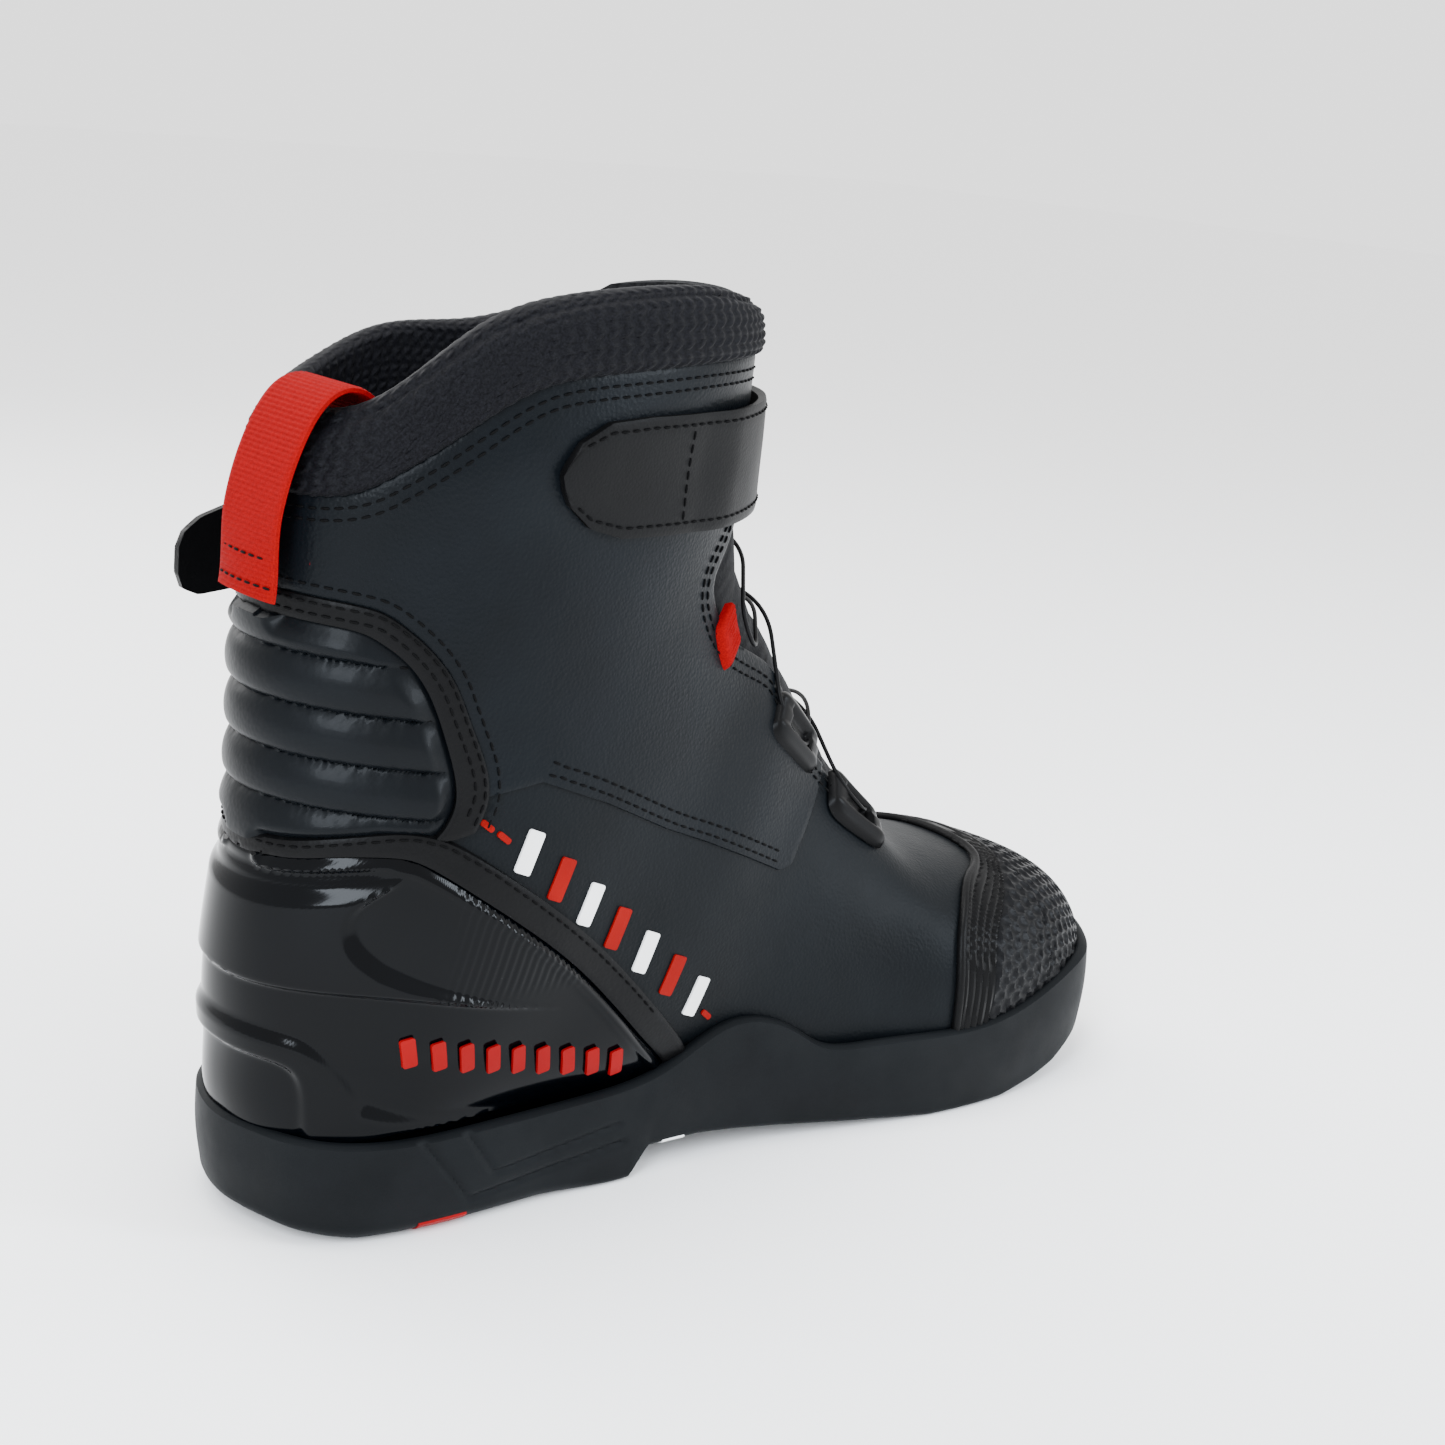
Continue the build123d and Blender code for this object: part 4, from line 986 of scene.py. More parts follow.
def make_toe():
    """Honeycomb toe cap and ridged flex band."""
    cap_loop = outline(smooth(TOE_BAND_FRONT), [(-80, 5), (-170, 5), (-170, 80)])
    cap = panel("toe_cap_shell", cap_loop, BOTH, 2.0, 1.0, TOE_PLASTIC, (0.0, 0.33), (-1.0, 1.0),
                step=0.6, relief=toe_height)
    finish_piece(cap, "boot", ("toe_cap",))
    band_loop = outline(smooth(TOE_BAND_REAR), smooth(TOE_BAND_FRONT)[::-1])
    band = panel("toe_flex_band", band_loop, BOTH, 2.0, 1.1, MATT_PLASTIC, (0.05, 0.36),
                 (-1.0, 1.0), step=0.6, relief=band_height)
    finish_piece(band, "boot", ("toe_rib_band",))


make_toe()


PIPING_SIDES = 10


def tube_along(name, path, radius, material):
    """Round piping through points in metres, closed at its ends."""
    along = np.gradient(path, axis=0)
    along /= np.linalg.norm(along, axis=1, keepdims=True) + 1e-12
    side_way = np.cross(along, (0.3, 0.2, 0.93))
    side_way /= np.linalg.norm(side_way, axis=1, keepdims=True) + 1e-12
    up_way = np.cross(side_way, along)
    turn = np.linspace(0, 2 * math.pi, PIPING_SIDES, endpoint=False)
    ring = (side_way[:, None] * np.cos(turn)[None, :, None]
            + up_way[:, None] * np.sin(turn)[None, :, None]) * radius * MM
    points = (path[:, None] + ring).reshape(-1, 3)
    faces = grid_faces(len(path), PIPING_SIDES)
    last = (len(path) - 1) * PIPING_SIDES
    faces.append(tuple(reversed(range(PIPING_SIDES))))
    faces.append(tuple(last + k for k in range(PIPING_SIDES)))
    finish_piece(new_object(name, points, faces, material, sharp=80), "boot")


def crossing_path(line, height):
    """Points on the form along a side-view line, from the inner side over to the outer."""
    u_in, v_in, miss_in = locate_side(smooth(line, 0.8), MEDIAL, height)
    u_out, v_out, miss_out = locate_side(smooth(line, 0.8), LATERAL, height)
    u = np.concatenate([u_in[miss_in < 0.5][::-1], u_out[miss_out < 0.5]])
    v = np.concatenate([v_in[miss_in < 0.5][::-1] - 2, v_out[miss_out < 0.5]])
    order = np.argsort(v)
    places = even(np.stack([v[order], u[order] * 2], 1), 0.01)
    return skin(places[:, 1] / 2, places[:, 0], height)


tube_along("toe_piping", crossing_path(TOE_BAND_REAR, 2.7), 1.5, TRIM_LEATHER)

# ---- sole -----------------------------------------------------------------------------

# Plan of the sole in millimetres: y, half width towards the inner and the outer side.
SOLE_PLAN = (
    (147, 14, 14), (140, 27, 26), (122, 37, 38), (90, 40, 42), (60, 40, 44), (30, 40, 46),
    (10, 41, 47), (-10, 44, 50), (-40, 50, 54), (-70, 55, 56), (-100, 55, 51),
    (-124, 51, 39), (-140, 39, 25),
)
SOLE_HEEL_END = (0, 150)
SOLE_TOE_END = (-8, -153)
TOE_SPRING = (
    (-160, 34), (-148, 24), (-138, 17), (-128, 11), (-115, 5), (-105, 2.5), (-90, 0),
)
HEEL_BLOCK = ((44, 0), (128, 0), (142, 1.5), (156, 4))
SOLE_BOTTOM = (*TOE_SPRING, (-60, 0), (-30, 2.5), (0, 5.5), (20, 7.5), (38, 8), *HEEL_BLOCK)
TREAD_LEVEL = (*TOE_SPRING, (8, 0), (18, 6), (38, 8), *HEEL_BLOCK)
SOLE_RECESSES = (((112, 27), (97, 8), (48, 13)), ((99, 27), (90, 14), (50, 18.5)))
RECESS_DEPTHS = (0.9, 0.8)
RECESS_WIDTH = 0.7
WALL_STEPS = 30
CORNER_STEPS = 8


def sole_plan():
    """Closed plan outline, evenly spaced, from the heel along the inner side to the toe."""
    inner = [(-i, y) for y, i, o in SOLE_PLAN]
    outer = [(o, y) for y, i, o in reversed(SOLE_PLAN)]
    ring = [SOLE_HEEL_END, *inner, SOLE_TOE_END, *outer]
    twice = smooth(ring + ring + ring[:1], 1.0)
    third = len(twice) // 2
    start = third // 2
    loop = twice[start:start + third + 1]
    order = np.argmax(loop[:-1, 1])
    return even(np.roll(loop[:-1], -order, axis=0), 1.1)


def height_at(line, y):
    """Height of a side-view line at each y."""
    line = np.array(sorted(map(tuple, line)), float)
    return np.interp(y, line[:, 0], line[:, 1])


def sole_relief(y, z):
    """Recessed panels pressed into the side wall of the heel."""
    points = np.stack([y, z], -1)
    cut = np.zeros_like(z)
    for corners, depth in zip(SOLE_RECESSES, RECESS_DEPTHS):
        cut -= depth * np.exp(-(line_distance(points, even(corners)) / RECESS_WIDTH) ** 2)
    return cut


def make_sole():
    """Rubber sole: side wall with a rolled top lip, sculpted bottom edge and tread."""
    plan = sole_plan()
    count = len(plan)
    along = np.roll(plan, -1, axis=0) - np.roll(plan, 1, axis=0)
    along /= np.linalg.norm(along, axis=1, keepdims=True)
    out = np.stack([-along[:, 1], along[:, 0]], 1)
    middle = plan.mean(axis=0)
    if np.mean(((plan - middle) * out).sum(1)) < 0:
        out = -out
    y = plan[:, 1]
    top = height_at(smooth(SOLE_TOP), y)
    bottom = height_at(even(SOLE_BOTTOM, 0.8), y)
    heel = step_up(y - 46, 30)
    corner = 4.0 + 6.0 * heel
    high = top - 0.9
    low = bottom + corner * 0.55
    lip = ((13.0, -8.0), (3.6, -0.3), (2.4, 0.2), (1.2, 0.0))
    rows = [(plan - out * inset, top + lift) for inset, lift in lip]
    for t in np.linspace(0, 1, WALL_STEPS):
        z = high + (low - high) * t
        bulge = 0.7 * math.sin(math.pi * t) - 1.5 * t * heel
        shift = sole_relief(y, z) * (plan[:, 0] < 0) + bulge
        rows.append((plan + out * shift[:, None], z))
    for angle in np.linspace(0, math.pi / 2, CORNER_STEPS + 1)[1:]:
        z = bottom + corner * 0.55 * (1 - math.sin(angle))
        inset = corner * 0.8 * (1 - math.cos(angle)) + 1.5 * heel
        rows.append((plan - out * inset[:, None], z))
    points = np.concatenate([np.column_stack([xy, z]) for xy, z in rows]) * MM
    faces = grid_faces(len(rows), count)
    points, faces = add_tread(points, faces, rows[-1])
    piece = new_object("sole_rubber", points, faces, RUBBER, sharp=40)
    finish_piece(piece, "boot", ("outsole",))
    for name, span, material, slot in EDGE_PLUGS:
        add_edge_plug(name, span, rows[-CORNER_STEPS:], material)


EDGE_PLUGS = (
    ("heel_plug_edge", (96.0, 112.0), RED_RUBBER, "red_rubber"),
    ("arch_plug_edge", (25.0, 34.0), WHITE_PRINT, "white_rubber"),
)


EDGE_PROUD = 0.35
EDGE_SUNK = -0.4
PLUG_BACK = (1.5, 0, 0.8)


def add_edge_plug(name, span, rows, material):
    """The end of a coloured plug where it comes out at the sole's inner bottom edge."""
    xy = rows[0][0]
    chosen = np.where((xy[:, 0] < 0) & (xy[:, 1] > span[0]) & (xy[:, 1] < span[1]))[0]
    rings = []
    for level, (place, z) in enumerate(rows):
        proud = EDGE_PROUD if 0 < level < len(rows) - 1 else EDGE_SUNK
        height = np.maximum(z[chosen] - 0.3 * proud, 0.02)
        rings.append(np.column_stack([place[chosen] - (proud, 0), height]))
    grid = np.array(rings)
    back = grid[::-1] + PLUG_BACK
    piece = slab(name, np.concatenate([grid, back]).transpose(1, 0, 2) * MM, material)
    finish_piece(piece, "boot")


TREAD_COLUMNS = 46
GROOVE_DEPTH = 2.6


def add_tread(points, faces, last_row):
    """Closes the sole with a grooved underside, row by row across the foot."""
    xy, z = last_row
    count = len(xy)
    heel, toe = int(np.argmax(xy[:, 1])), int(np.argmin(xy[:, 1]))
    chain_a = [(heel + k) % count for k in range((toe - heel) % count + 1)]
    chain_b = [(heel - k) % count for k in range((heel - toe) % count + 1)]
    rows = min(len(chain_a), len(chain_b))
    pick = np.linspace(0, 1, rows)
    side_a = [chain_a[int(round(p * (len(chain_a) - 1)))] for p in pick]
    side_b = [chain_b[int(round(p * (len(chain_b) - 1)))] for p in pick]
    share = np.linspace(0, 1, TREAD_COLUMNS)
    a, b = xy[side_a], xy[side_b]
    za, zb = z[side_a], z[side_b]
    grid = a[:, None] * (1 - share[None, :, None]) + b[:, None] * share[None, :, None]
    level = za[:, None] * (1 - share) + zb[:, None] * share
    edge = np.minimum(share, 1 - share) * np.linalg.norm(a - b, axis=1)[:, None]
    groove = np.abs(np.sin(grid[..., 1] / 6.4 + 0.6 * np.cos(grid[..., 0] / 9))) < 0.34
    groove &= (edge > 3) & ((grid[..., 1] < 0) | (grid[..., 1] > 44))
    flat = height_at(TREAD_LEVEL, grid[..., 1])
    level = level + (flat - level) * step_up(edge - 2, 12) + GROOVE_DEPTH * groove * step_up(edge, 5)
    extra = np.dstack([grid, level]).reshape(-1, 3) * MM
    under = grid_faces(rows, TREAD_COLUMNS, len(points), closed=False)
    return np.concatenate([points, extra]), faces + [face[::-1] for face in under]


make_sole()

# ---- collar ---------------------------------------------------------------------------

COLLAR_ROWS = 120
COLLAR_COLUMNS = 560
COLLAR_START = 0.105
COLLAR_SWELL = 3.6
COLLAR_OUTSIDE = 0.42    # share of the rows on the outside
COLLAR_ROLLED = 0.20     # share of the rows over the rim
KNIT_ROW = 2.2
KNIT_STITCH = 3.8


def crossing_u(v, rim):
    """Where each column of the form crosses a rim line, as u."""
    u = np.linspace(0.72, 1.0, 260)
    grid_u, grid_v = np.meshgrid(u, v, indexing="ij")
    points = skin(grid_u, grid_v, 2.0) / MM
    inner = height_at(smooth(rim[MEDIAL]), points[..., 1])
    outer = height_at(smooth(rim[LATERAL]), points[..., 1])
    gap = points[..., 2] - outer - (inner - outer) * step_up(grid_v - 0.97, 0.06)
    first = np.argmax(gap > 0, axis=0)
    first = np.where((gap > 0).any(axis=0), first, len(u) - 1)
    before = np.maximum(first - 1, 0)
    columns = np.arange(len(v))
    gap_a, gap_b = gap[before, columns], gap[first, columns]
    share = np.clip(-gap_a / (gap_b - gap_a + 1e-9), 0, 1)
    return u[before] + (u[first] - u[before]) * share


def knit(a, b):
    """Looped knit of the collar: slanted stitches in rows."""
    row = np.floor(b / KNIT_ROW)
    shift = np.where(row % 2 == 0, a, a + KNIT_STITCH / 2)
    lean = shift + np.where(row % 2 == 0, 1, -1) * (b - row * KNIT_ROW) * 0.9
    cell = np.cos(2 * math.pi * lean / KNIT_STITCH)
    rib = np.sin(math.pi * (b / KNIT_ROW - row))
    return (0.5 + 0.5 * cell) * np.abs(rib) ** 0.6


def make_collar():
    """Stuffed knit collar that rolls over the rim and down inside."""
    v = np.linspace(COLLAR_START, 2 - COLLAR_START, COLLAR_COLUMNS)
    low, high = crossing_u(v, LEATHER_RIM), crossing_u(v, COLLAR_RIM)
    ends = np.minimum(v - COLLAR_START, 2 - COLLAR_START - v) / 0.055
    full = np.sqrt(np.clip(1 - (1 - np.clip(ends, 0, 1)) ** 2, 0, 1))
    rows_u, rows_h = [], []
    for s in np.linspace(0, 1, COLLAR_ROWS):
        if s < COLLAR_OUTSIDE:
            t = s / COLLAR_OUTSIDE
            rows_u.append(low + (high - low) * (t * 0.93 - 0.03))
            rows_h.append(1.6 + COLLAR_SWELL * np.sqrt(np.clip(1 - (2 * t - 1) ** 4, 0, 1)) + 0 * v)
        elif s < COLLAR_OUTSIDE + COLLAR_ROLLED:
            angle = (s - COLLAR_OUTSIDE) / COLLAR_ROLLED * math.pi
            rows_u.append(high - (high - low) * 0.10 * (1 - math.sin(angle)))
            rows_h.append(-1.6 + 3.6 * math.cos(angle) + 0 * v)
        else:
            t = (s - COLLAR_OUTSIDE - COLLAR_ROLLED) / (1 - COLLAR_OUTSIDE - COLLAR_ROLLED)
            rows_u.append(high - (high - low) * 0.10 - (high - low + 0.05) * t)
            rows_h.append(-5.2 + 2.0 * t - 1.4 * math.sin(math.pi * t) + 0 * v)
    u = np.array(rows_u)
    h = np.array(rows_h)
    h = -1.6 + (h + 1.6) * full[None, :]
    grid_v = np.repeat(v[None], COLLAR_ROWS, axis=0)
    flat = skin(u, grid_v, h)
    across = np.cumsum(np.linalg.norm(np.diff(flat, axis=0, prepend=flat[:1]), axis=2), axis=0)
    round_way = np.cumsum(np.linalg.norm(np.diff(flat, axis=1, prepend=flat[:, :1]), axis=2), axis=1)
    h = h + 0.75 * knit(round_way.mean(axis=0)[None, :] / MM, across / MM) * np.sign(h + 1.6)
    points = skin(u, grid_v, h).reshape(-1, 3)
    faces = grid_faces(COLLAR_ROWS, COLLAR_COLUMNS, closed=False)
    piece = new_object("collar_knit", points, faces, MESH_CLOTH, sharp=80)
    finish_piece(piece, "boot", ("collar_medial", "collar_lateral"))


make_collar()

# ---- lining and tongue ----------------------------------------------------------------

def form_u(v, z, height):
    """u at which columns v of the form reach heights z, in millimetres."""
    u = np.linspace(0.25, 1.0, 400)
    found = np.zeros(np.broadcast(v, z).shape)
    wide_v, wide_z = np.broadcast_to(v, found.shape), np.broadcast_to(z, found.shape)
    for place in np.unique(np.round(wide_v, 6)):
        level = skin(u, np.full(len(u), place), np.full(len(u), height))[:, 2] / MM
        match = np.abs(wide_v - place) < 1e-5
        found[match] = np.interp(wide_z[match], level, u)
    return found


def make_lining():
    """Brushed cloth inside the shaft and the foot."""
    rim = smooth(TOP_LINE_LATERAL) - (0, 9)
    loop = outline(rim, [(FAR_FRONT, 224), (FAR_FRONT, FAR_DOWN), (FAR_REAR, FAR_DOWN), (FAR_REAR, 195)])
    piece = panel("lining_cloth", loop, BOTH, -3.6, 0.2, LINING_CLOTH, (0.0, 1.0), (-1.0, 1.0),
                  step=2.2, hole=in_throat, sink=0.0)
    finish_piece(piece, "boot", ("lining",))


TONGUE_ROWS = 150
TONGUE_COLUMNS = 40
TONGUE_LOW = 58.0
TONGUE_HIGH = 238.0
TONGUE_THICK = 4.6
TONGUE_QUILT = 15.0
TONGUE_END_ROWS = 12
TONGUE_LAP = 5


def make_tongue():
    """Padded tongue behind the lace, quilted across, with a rounded free end."""
    level = np.linspace(TONGUE_LOW, TONGUE_HIGH, TONGUE_ROWS)
    centre = form_u(np.zeros(TONGUE_ROWS), level, 0.0)
    y, half = np.array(THROAT_WIDTH, float).T
    rows = []
    for step, u in enumerate(centre):
        around = np.linspace(0.0, 0.6, 120)
        across = skin(np.full(120, u), around, np.zeros(120))
        reach = np.interp(across[0, 1] / MM, y, half, left=TONGUE_LAP) + TONGUE_LAP
        end = max(0, (step - TONGUE_ROWS + TONGUE_END_ROWS) / TONGUE_END_ROWS)
        reach *= math.sqrt(1 - 0.55 * end ** 2)
        edge = float(np.interp(reach, np.maximum.accumulate(np.abs(across[:, 0] / MM)), around))
        share = np.linspace(-1, 1, TONGUE_COLUMNS)
        swell = (1 - np.abs(share) ** 5) * math.sqrt(max(0.02, 1 - end ** 3))
        quilt = abs(math.sin(math.pi * level[step] / TONGUE_QUILT)) ** 0.5
        outer = -1.4 + (1.5 + 1.1 * quilt) * swell
        inner = -1.6 - TONGUE_THICK * 0.5 * swell
        v = share * edge
        top = skin(np.full(TONGUE_COLUMNS, u), v, outer)
        low = skin(np.full(TONGUE_COLUMNS, u), v, inner)
        rows.append(np.concatenate([top, low[::-1]]))
    return slab("tongue_cloth", np.array(rows), LINING_CLOTH)


make_lining()
tongue = make_tongue()
finish_piece(tongue, "boot", ("tongue", "tongue_gusset"))

# ---- strap ----------------------------------------------------------------------------

STRAP_MIDDLE = 196.0
STRAP_THICK = 2.4
STRAP_ACROSS = 26
STRAP_RIMS = {
    MEDIAL: (
        ((-30, 212), (37, 211), (65, 211), (78, 210), (86, 205.5), (89, 200.5), (90, 198)),
        ((-30, 180), (37, 180), (70, 181), (80, 184), (87, 190), (89.3, 194), (90, 197)),
    ),
    LATERAL: (
        ((-30, 212), (30, 212), (62, 205), (95, 191), (118, 177), (134, 171.5), (138.5, 168),
         (140, 164)),
        ((-30, 180), (30, 180), (62, 171), (95, 159), (118, 153), (134, 151.2), (138.5, 153),
         (140, 157)),
    ),
}
STRAP_LEAVES = 95.0      # y where the strap leaves the boot on its way to the tip
STRAP_TIP = 140.0
TIP_X = 46.9
STITCH_INSET = 0.09      # share of the strap's width


def strap_rows():
    """Rows along the strap: y, v, side, from the sewn point round the front to the free tip."""
    v = np.linspace(1.0, 2.0, 500)
    u = form_u(v, np.full(500, STRAP_MIDDLE), 5.0)
    inner_y = skin(u, v, np.full(500, 5.0))[:, 1] / MM
    first = float(np.interp(90.0, inner_y[::-1], v[::-1]))
    v_outer = np.linspace(0.0, 1.0, 500)
    u_outer = form_u(v_outer, np.full(500, 180.0), 5.0)
    outer_y = skin(u_outer, v_outer, np.full(500, 5.0))[:, 1] / MM
    last = float(np.interp(STRAP_LEAVES, outer_y, v_outer))
    rows = []
    for place in np.linspace(first, 2.0, 110):
        rows.append((float(np.interp(place, v, inner_y)), place, MEDIAL))
    for place in np.linspace(0.0, last, 110)[1:]:
        rows.append((float(np.interp(place, v_outer, outer_y)), place + 2, LATERAL))
    return rows


def strap_points(rows, across, lift):
    """Points on the strap at shares across it and at a height above its inner face."""
    points = []
    for y, v, side in rows:
        top = height_at(STRAP_RIMS[side][0], y)
        low = height_at(STRAP_RIMS[side][1], y)
        z = low + (top - low) * across
        sewn = step_up(y - 30, 16) if side == MEDIAL else 0.0
        height = 5.4 - 2.0 * sewn
        u = form_u(np.full(len(z), v % 2), z, height)
        points.append(skin(u, np.full(len(z), v), height + lift))
    end = points[-1]
    y = end[:, 1].mean() / MM
    for forward in np.linspace(y + 1.5, STRAP_TIP, 32):
        top = height_at(STRAP_RIMS[LATERAL][0], forward)
        low = height_at(STRAP_RIMS[LATERAL][1], forward)
        share = min(1.0, (forward - y) / 20)
        x = end[:, 0] * (1 - share) + (TIP_X - STRAP_THICK / 2 + lift) * MM * share
        z = (low + (top - low) * across) * MM
        points.append(np.stack([x, np.full(len(z), forward * MM), z], 1))
    return np.array(points)


def bend_with_strap(piece):
    """Bakes the piece's placement into its mesh."""
    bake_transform(piece)


def make_strap():
    """Leather closing strap with a raw edge and stitches round it."""
    rows = strap_rows()
    across = np.linspace(0, 1, STRAP_ACROSS)
    near = np.minimum(across, 1 - across)
    crown = STRAP_THICK - 0.35 * np.exp(-near / 0.012) - 0.22 * np.exp(-((near - STITCH_INSET) / 0.02) ** 2)
    outer = strap_points(rows, across, crown)
    inner = strap_points(rows, across, np.zeros(STRAP_ACROSS))
    piece = slab("strap_leather", np.concatenate([outer, inner[:, ::-1]], 1), STRAP_LEATHER)
    finish_piece(piece, None, ("strap_anchor", "strap"))
    bend_with_strap(piece)
    edges = np.array([STITCH_INSET, 1 - STITCH_INSET])
    line = strap_points(rows, edges, np.full(2, STRAP_THICK + 0.05))[5:-3]
    lifted = strap_points(rows, edges, np.full(2, STRAP_THICK + 2.0))[5:-3]
    paths = [(line[:, k], lifted[:, k] - line[:, k]) for k in (0, 1)]
    cross = np.linspace(0.1, 0.9, 14)
    column = [row for row in rows if row[2] == MEDIAL and row[0] < 50][:1]
    here = strap_points(column, cross, np.full(14, STRAP_THICK + 0.05))[0]
    above = strap_points(column, cross, np.full(14, STRAP_THICK + 2.0))[0]
    paths.append((here, above - here))
    bend_with_strap(place_stitches("strap_stitches", paths, body=None, slot="strap_leather"))


make_strap()

# ---- pull loop ------------------------------------------------------------------------

LOOP_ROUTE = (
    (150.9, 164.5), (150.3, 169), (147.8, 186), (143.5, 200), (138, 209.5), (131, 213.5), (124, 211),
    (120, 203), (124, 190), (135.5, 178), (138, 173),
)
LOOP_X = -4.0
LOOP_HALF = 12.5
LOOP_THICK = 1.5
LOOP_RIB = 1.25
LOOP_STEP = 0.28
LOOP_CURL = 1.9          # how far the loop's borders bend round the heel
LOOP_SEAMS = (167.5, 174.0)


def make_pull_loop():
    """Ribbed red webbing that runs over the collar and down inside."""
    path = smooth(LOOP_ROUTE, LOOP_STEP)
    along = np.gradient(path, axis=0)
    along /= np.linalg.norm(along, axis=1, keepdims=True)
    out = np.stack([along[:, 1], -along[:, 0]], 1)
    walked = np.arange(len(path)) * LOOP_STEP
    across = np.linspace(-1, 1, 40)
    rib = 0.16 * np.sin(2 * math.pi * walked / LOOP_RIB)
    border = step_up(1 - np.abs(across), 0.10)
    curl = LOOP_CURL * across ** 2 * step_up(185 - path[:, 1], 20)[:, None]
    rings = []
    for sign in (1, -1):
        lift = sign * (LOOP_THICK / 2 - 0.25 + 0.25 * border)[None, :] + sign * rib[:, None] * border
        yz = path[:, None] + out[:, None] * (lift - curl)[..., None]
        x = np.broadcast_to(LOOP_X + across * LOOP_HALF, yz.shape[:2])
        side = np.dstack([x, yz[..., 0], yz[..., 1]])
        rings.append(side if sign == 1 else side[:, ::-1])
    piece = slab("pull_loop_webbing", np.concatenate(rings, 1) * MM, WEBBING, sharp=60)
    finish_piece(piece, "boot", ("pull_loop",))
    runs = []
    for level in LOOP_SEAMS:
        k = int(np.argmin(np.abs(path[:200, 1] - level)))
        x = np.linspace(-0.98, 0.98, 26)
        yz = path[k] + out[k] * (LOOP_THICK / 2 + 0.1 - LOOP_CURL * x[:, None] ** 2)
        line = np.column_stack([LOOP_X + x * LOOP_HALF, yz]) * MM
        normal = np.repeat([[0, out[k, 0], out[k, 1]]], 26, axis=0)
        runs.append((line, normal))
    place_stitches("pull_loop_stitches", runs, slot="webbing_red")


make_pull_loop()

# ---- lace guides and bare CAD pieces --------------------------------------------------

GUIDE_RINGS = 26
GUIDE_TURNS = 72
GUIDE_CROWN = 3.4
GUIDE_BASE = 2.7


def make_guide(name, station, angle, length, width, material, node_name, ribs):
    """Loop that turns the lace back, sewn on the edge of the lacing gap."""
    u0 = station / (len(SECTIONS) - 1)
    side = 1 if angle > 0 else -1
    around = np.linspace(0, 1, 400) * side
    column = skin(np.full(400, u0), around, np.zeros(400))
    centre_x = skin(np.array([u0]), np.array([0.0]), np.zeros(1))[0, 0]
    reach = np.abs(column[:, 0] - centre_x)
    reach = reach[:np.argmax(reach) + 1]
    v0 = around[np.argmin(np.abs(reach - reach.max() * abs(math.sin(math.radians(angle)))))]
    step_u = np.linalg.norm(skin([u0 + 0.01], [v0], [3.0]) - skin([u0 - 0.01], [v0], [3.0])) / 0.02
    step_v = np.linalg.norm(skin([u0], [v0 + 0.02], [3.0]) - skin([u0], [v0 - 0.02], [3.0])) / 0.04
    turn = np.linspace(0, 2 * math.pi, GUIDE_TURNS, endpoint=False)
    square = 0.2 if ribs else 0.4
    points = []
    for r in np.linspace(0.02, 1, GUIDE_RINGS):
        p = np.sign(np.cos(turn)) * np.abs(np.cos(turn)) ** square * r * length / 2
        q = np.sign(np.sin(turn)) * np.abs(np.sin(turn)) ** square * r * width / 2
        crown = GUIDE_CROWN * max(0.0, 1 - r ** 8) ** 0.5
        if ribs:
            relief = 0.16 * np.sin(2 * math.pi * p / 1.2) * (1 - r ** 6)
        else:
            window = step_up(length * 0.27 - np.abs(p), 1.2) * step_up(width * 0.24 - np.abs(q), 1.2)
            relief = -2.4 * window * (r < 0.97) + 0.25 * np.cos(q * 1.6) * (1 - window)
        height = GUIDE_BASE + crown + relief * (r < 0.98)
        points.append(skin(u0 + p * MM / step_u, v0 + q * MM / step_v, height))
    faces = grid_faces(GUIDE_RINGS, GUIDE_TURNS)
    faces.append(tuple(reversed(range(GUIDE_TURNS))))
    piece = new_object(name, np.concatenate(points), faces, material, sharp=45)
    finish_piece(piece, "boot", (node_name,))


make_guide("guide_red", 11.45, -44, 13.5, 10, WEBBING, "webbing_guide_medial", True)
for place, station, angle in (("middle_guide_medial", 8.7, -39), ("lower_guide_medial", 6.9, -37),
                              ("middle_guide_lateral", 8.9, 36), ("lower_guide_lateral", 7.05, 34)):
    make_guide(place + "_loop", station, angle, 27, 15, MATT_PLASTIC, place, False)


def dress(name, material):
    """Gives a CAD node its look through the object's own material slot."""
    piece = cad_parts[name]
    if not piece.material_slots:
        piece.data.materials.append(None)
    piece.material_slots[0].link = "OBJECT"
    piece.material_slots[0].material = material


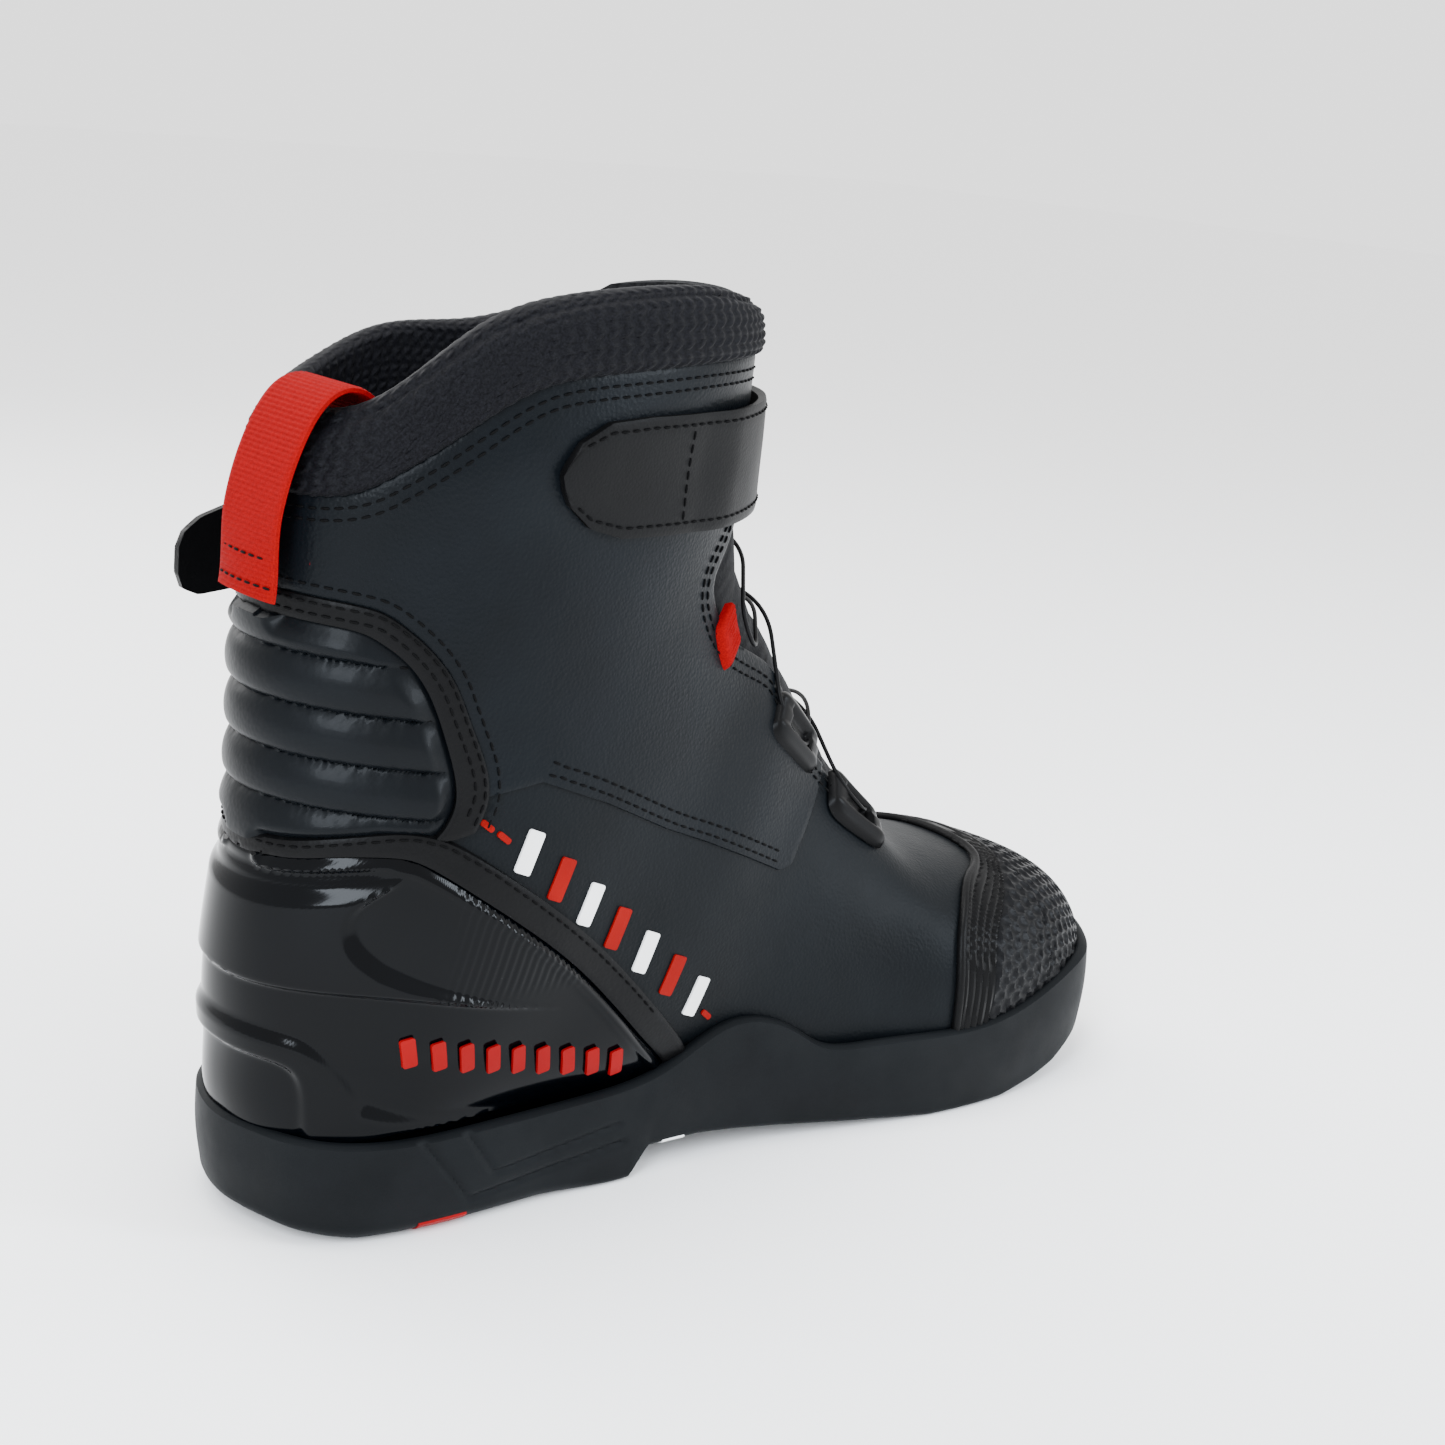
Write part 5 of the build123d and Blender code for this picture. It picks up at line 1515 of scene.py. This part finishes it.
DRESSED = {
    "heel_tread_insert": RED_RUBBER, "arch_insert": WHITE_PRINT, "shank": STEEL,
    "insole_board": FOOTBED_CLOTH, "footbed": FOOTBED_CLOTH, "heel_stiffener": MATT_PLASTIC,
    "toe_puff": MATT_PLASTIC, "ankle_pad_medial": FOOTBED_CLOTH,
    "ankle_pad_lateral": FOOTBED_CLOTH, "side_marks_white": WHITE_PRINT,
    "side_marks_red": RED_PRINT, "counter_marks": RED_MARK, "hook_tape": LINING_CLOTH,
    "loop_tape": LINING_CLOTH, "lace": CABLE, "dial_housing": MATT_PLASTIC,
    "dial_spool": MATT_PLASTIC, "dial_screw": STEEL, "dial_knob": MATT_PLASTIC,
}
for name, material in DRESSED.items():
    dress(name, material)

# ---- stitching ------------------------------------------------------------------------

def stitch_rows(name, line, sides, height, insets, hole=None, **more):
    """Rows of stitches beside a line on each side. A positive inset lies below or behind it."""
    runs = []
    for side in sides:
        for inset in insets:
            runs.append(seam(smooth(line), side, height, inset * side, hole))
    place_stitches(name, runs, **more)


# Heights of the threads above the form, in millimetres.
ON_SHAFT = 3.4
ON_TRIM = 4.2
ON_BINDING = 4.5
ON_RIBS = 2.95

for side in SIDES:
    tag = SIDE_NAME[side]
    stitch_rows("rim_stitches_" + tag, LEATHER_RIM[side], (side,), ON_SHAFT, (3.0, 5.8), in_throat,
                slot="leather_shaft")
    stitch_rows("low_stitches_" + tag, SHAFT_LOW[1:-4], (side,), ON_SHAFT, (-2.2, -5.2), in_throat,
                slot="leather_shaft")
stitch_rows("trim_stitches", PAD_ARCH, SIDES, ON_TRIM, (1.7, 4.4), slot="leather_smooth")
stitch_rows("arch_stitches", PAD_ARCH, SIDES, ON_SHAFT, (-2.4,), slot="leather_shaft")
stitch_rows("binding_stitches", COUNTER_OUT[:-2], SIDES, ON_BINDING, (1.8,), slot="leather_trim")
stitch_rows("eyestay_stitches", THROAT_EDGE[3:-3], SIDES, ON_SHAFT, (3.4, 6.2), in_throat,
            slot="leather_shaft")


def make_rib_stitches():
    """Stitches in the seams between the stuffed ribs."""
    loop = outline(smooth(PAD_INNER), [(113, 107.5), (152, 103)])
    runs = []
    for level in RIB_LEVELS[1:-1]:
        line = [(y, level - (140 - y) * RIB_SLANT) for y in range(153, 110, -3)]
        for side in SIDES:
            path, normals = seam(line, side, ON_RIBS)
            kept = inside(path[:, 1:] / MM, loop)
            runs.append((path[kept], normals[kept]))
    place_stitches("rib_stitches", runs, slot="leather_smooth")


make_rib_stitches()
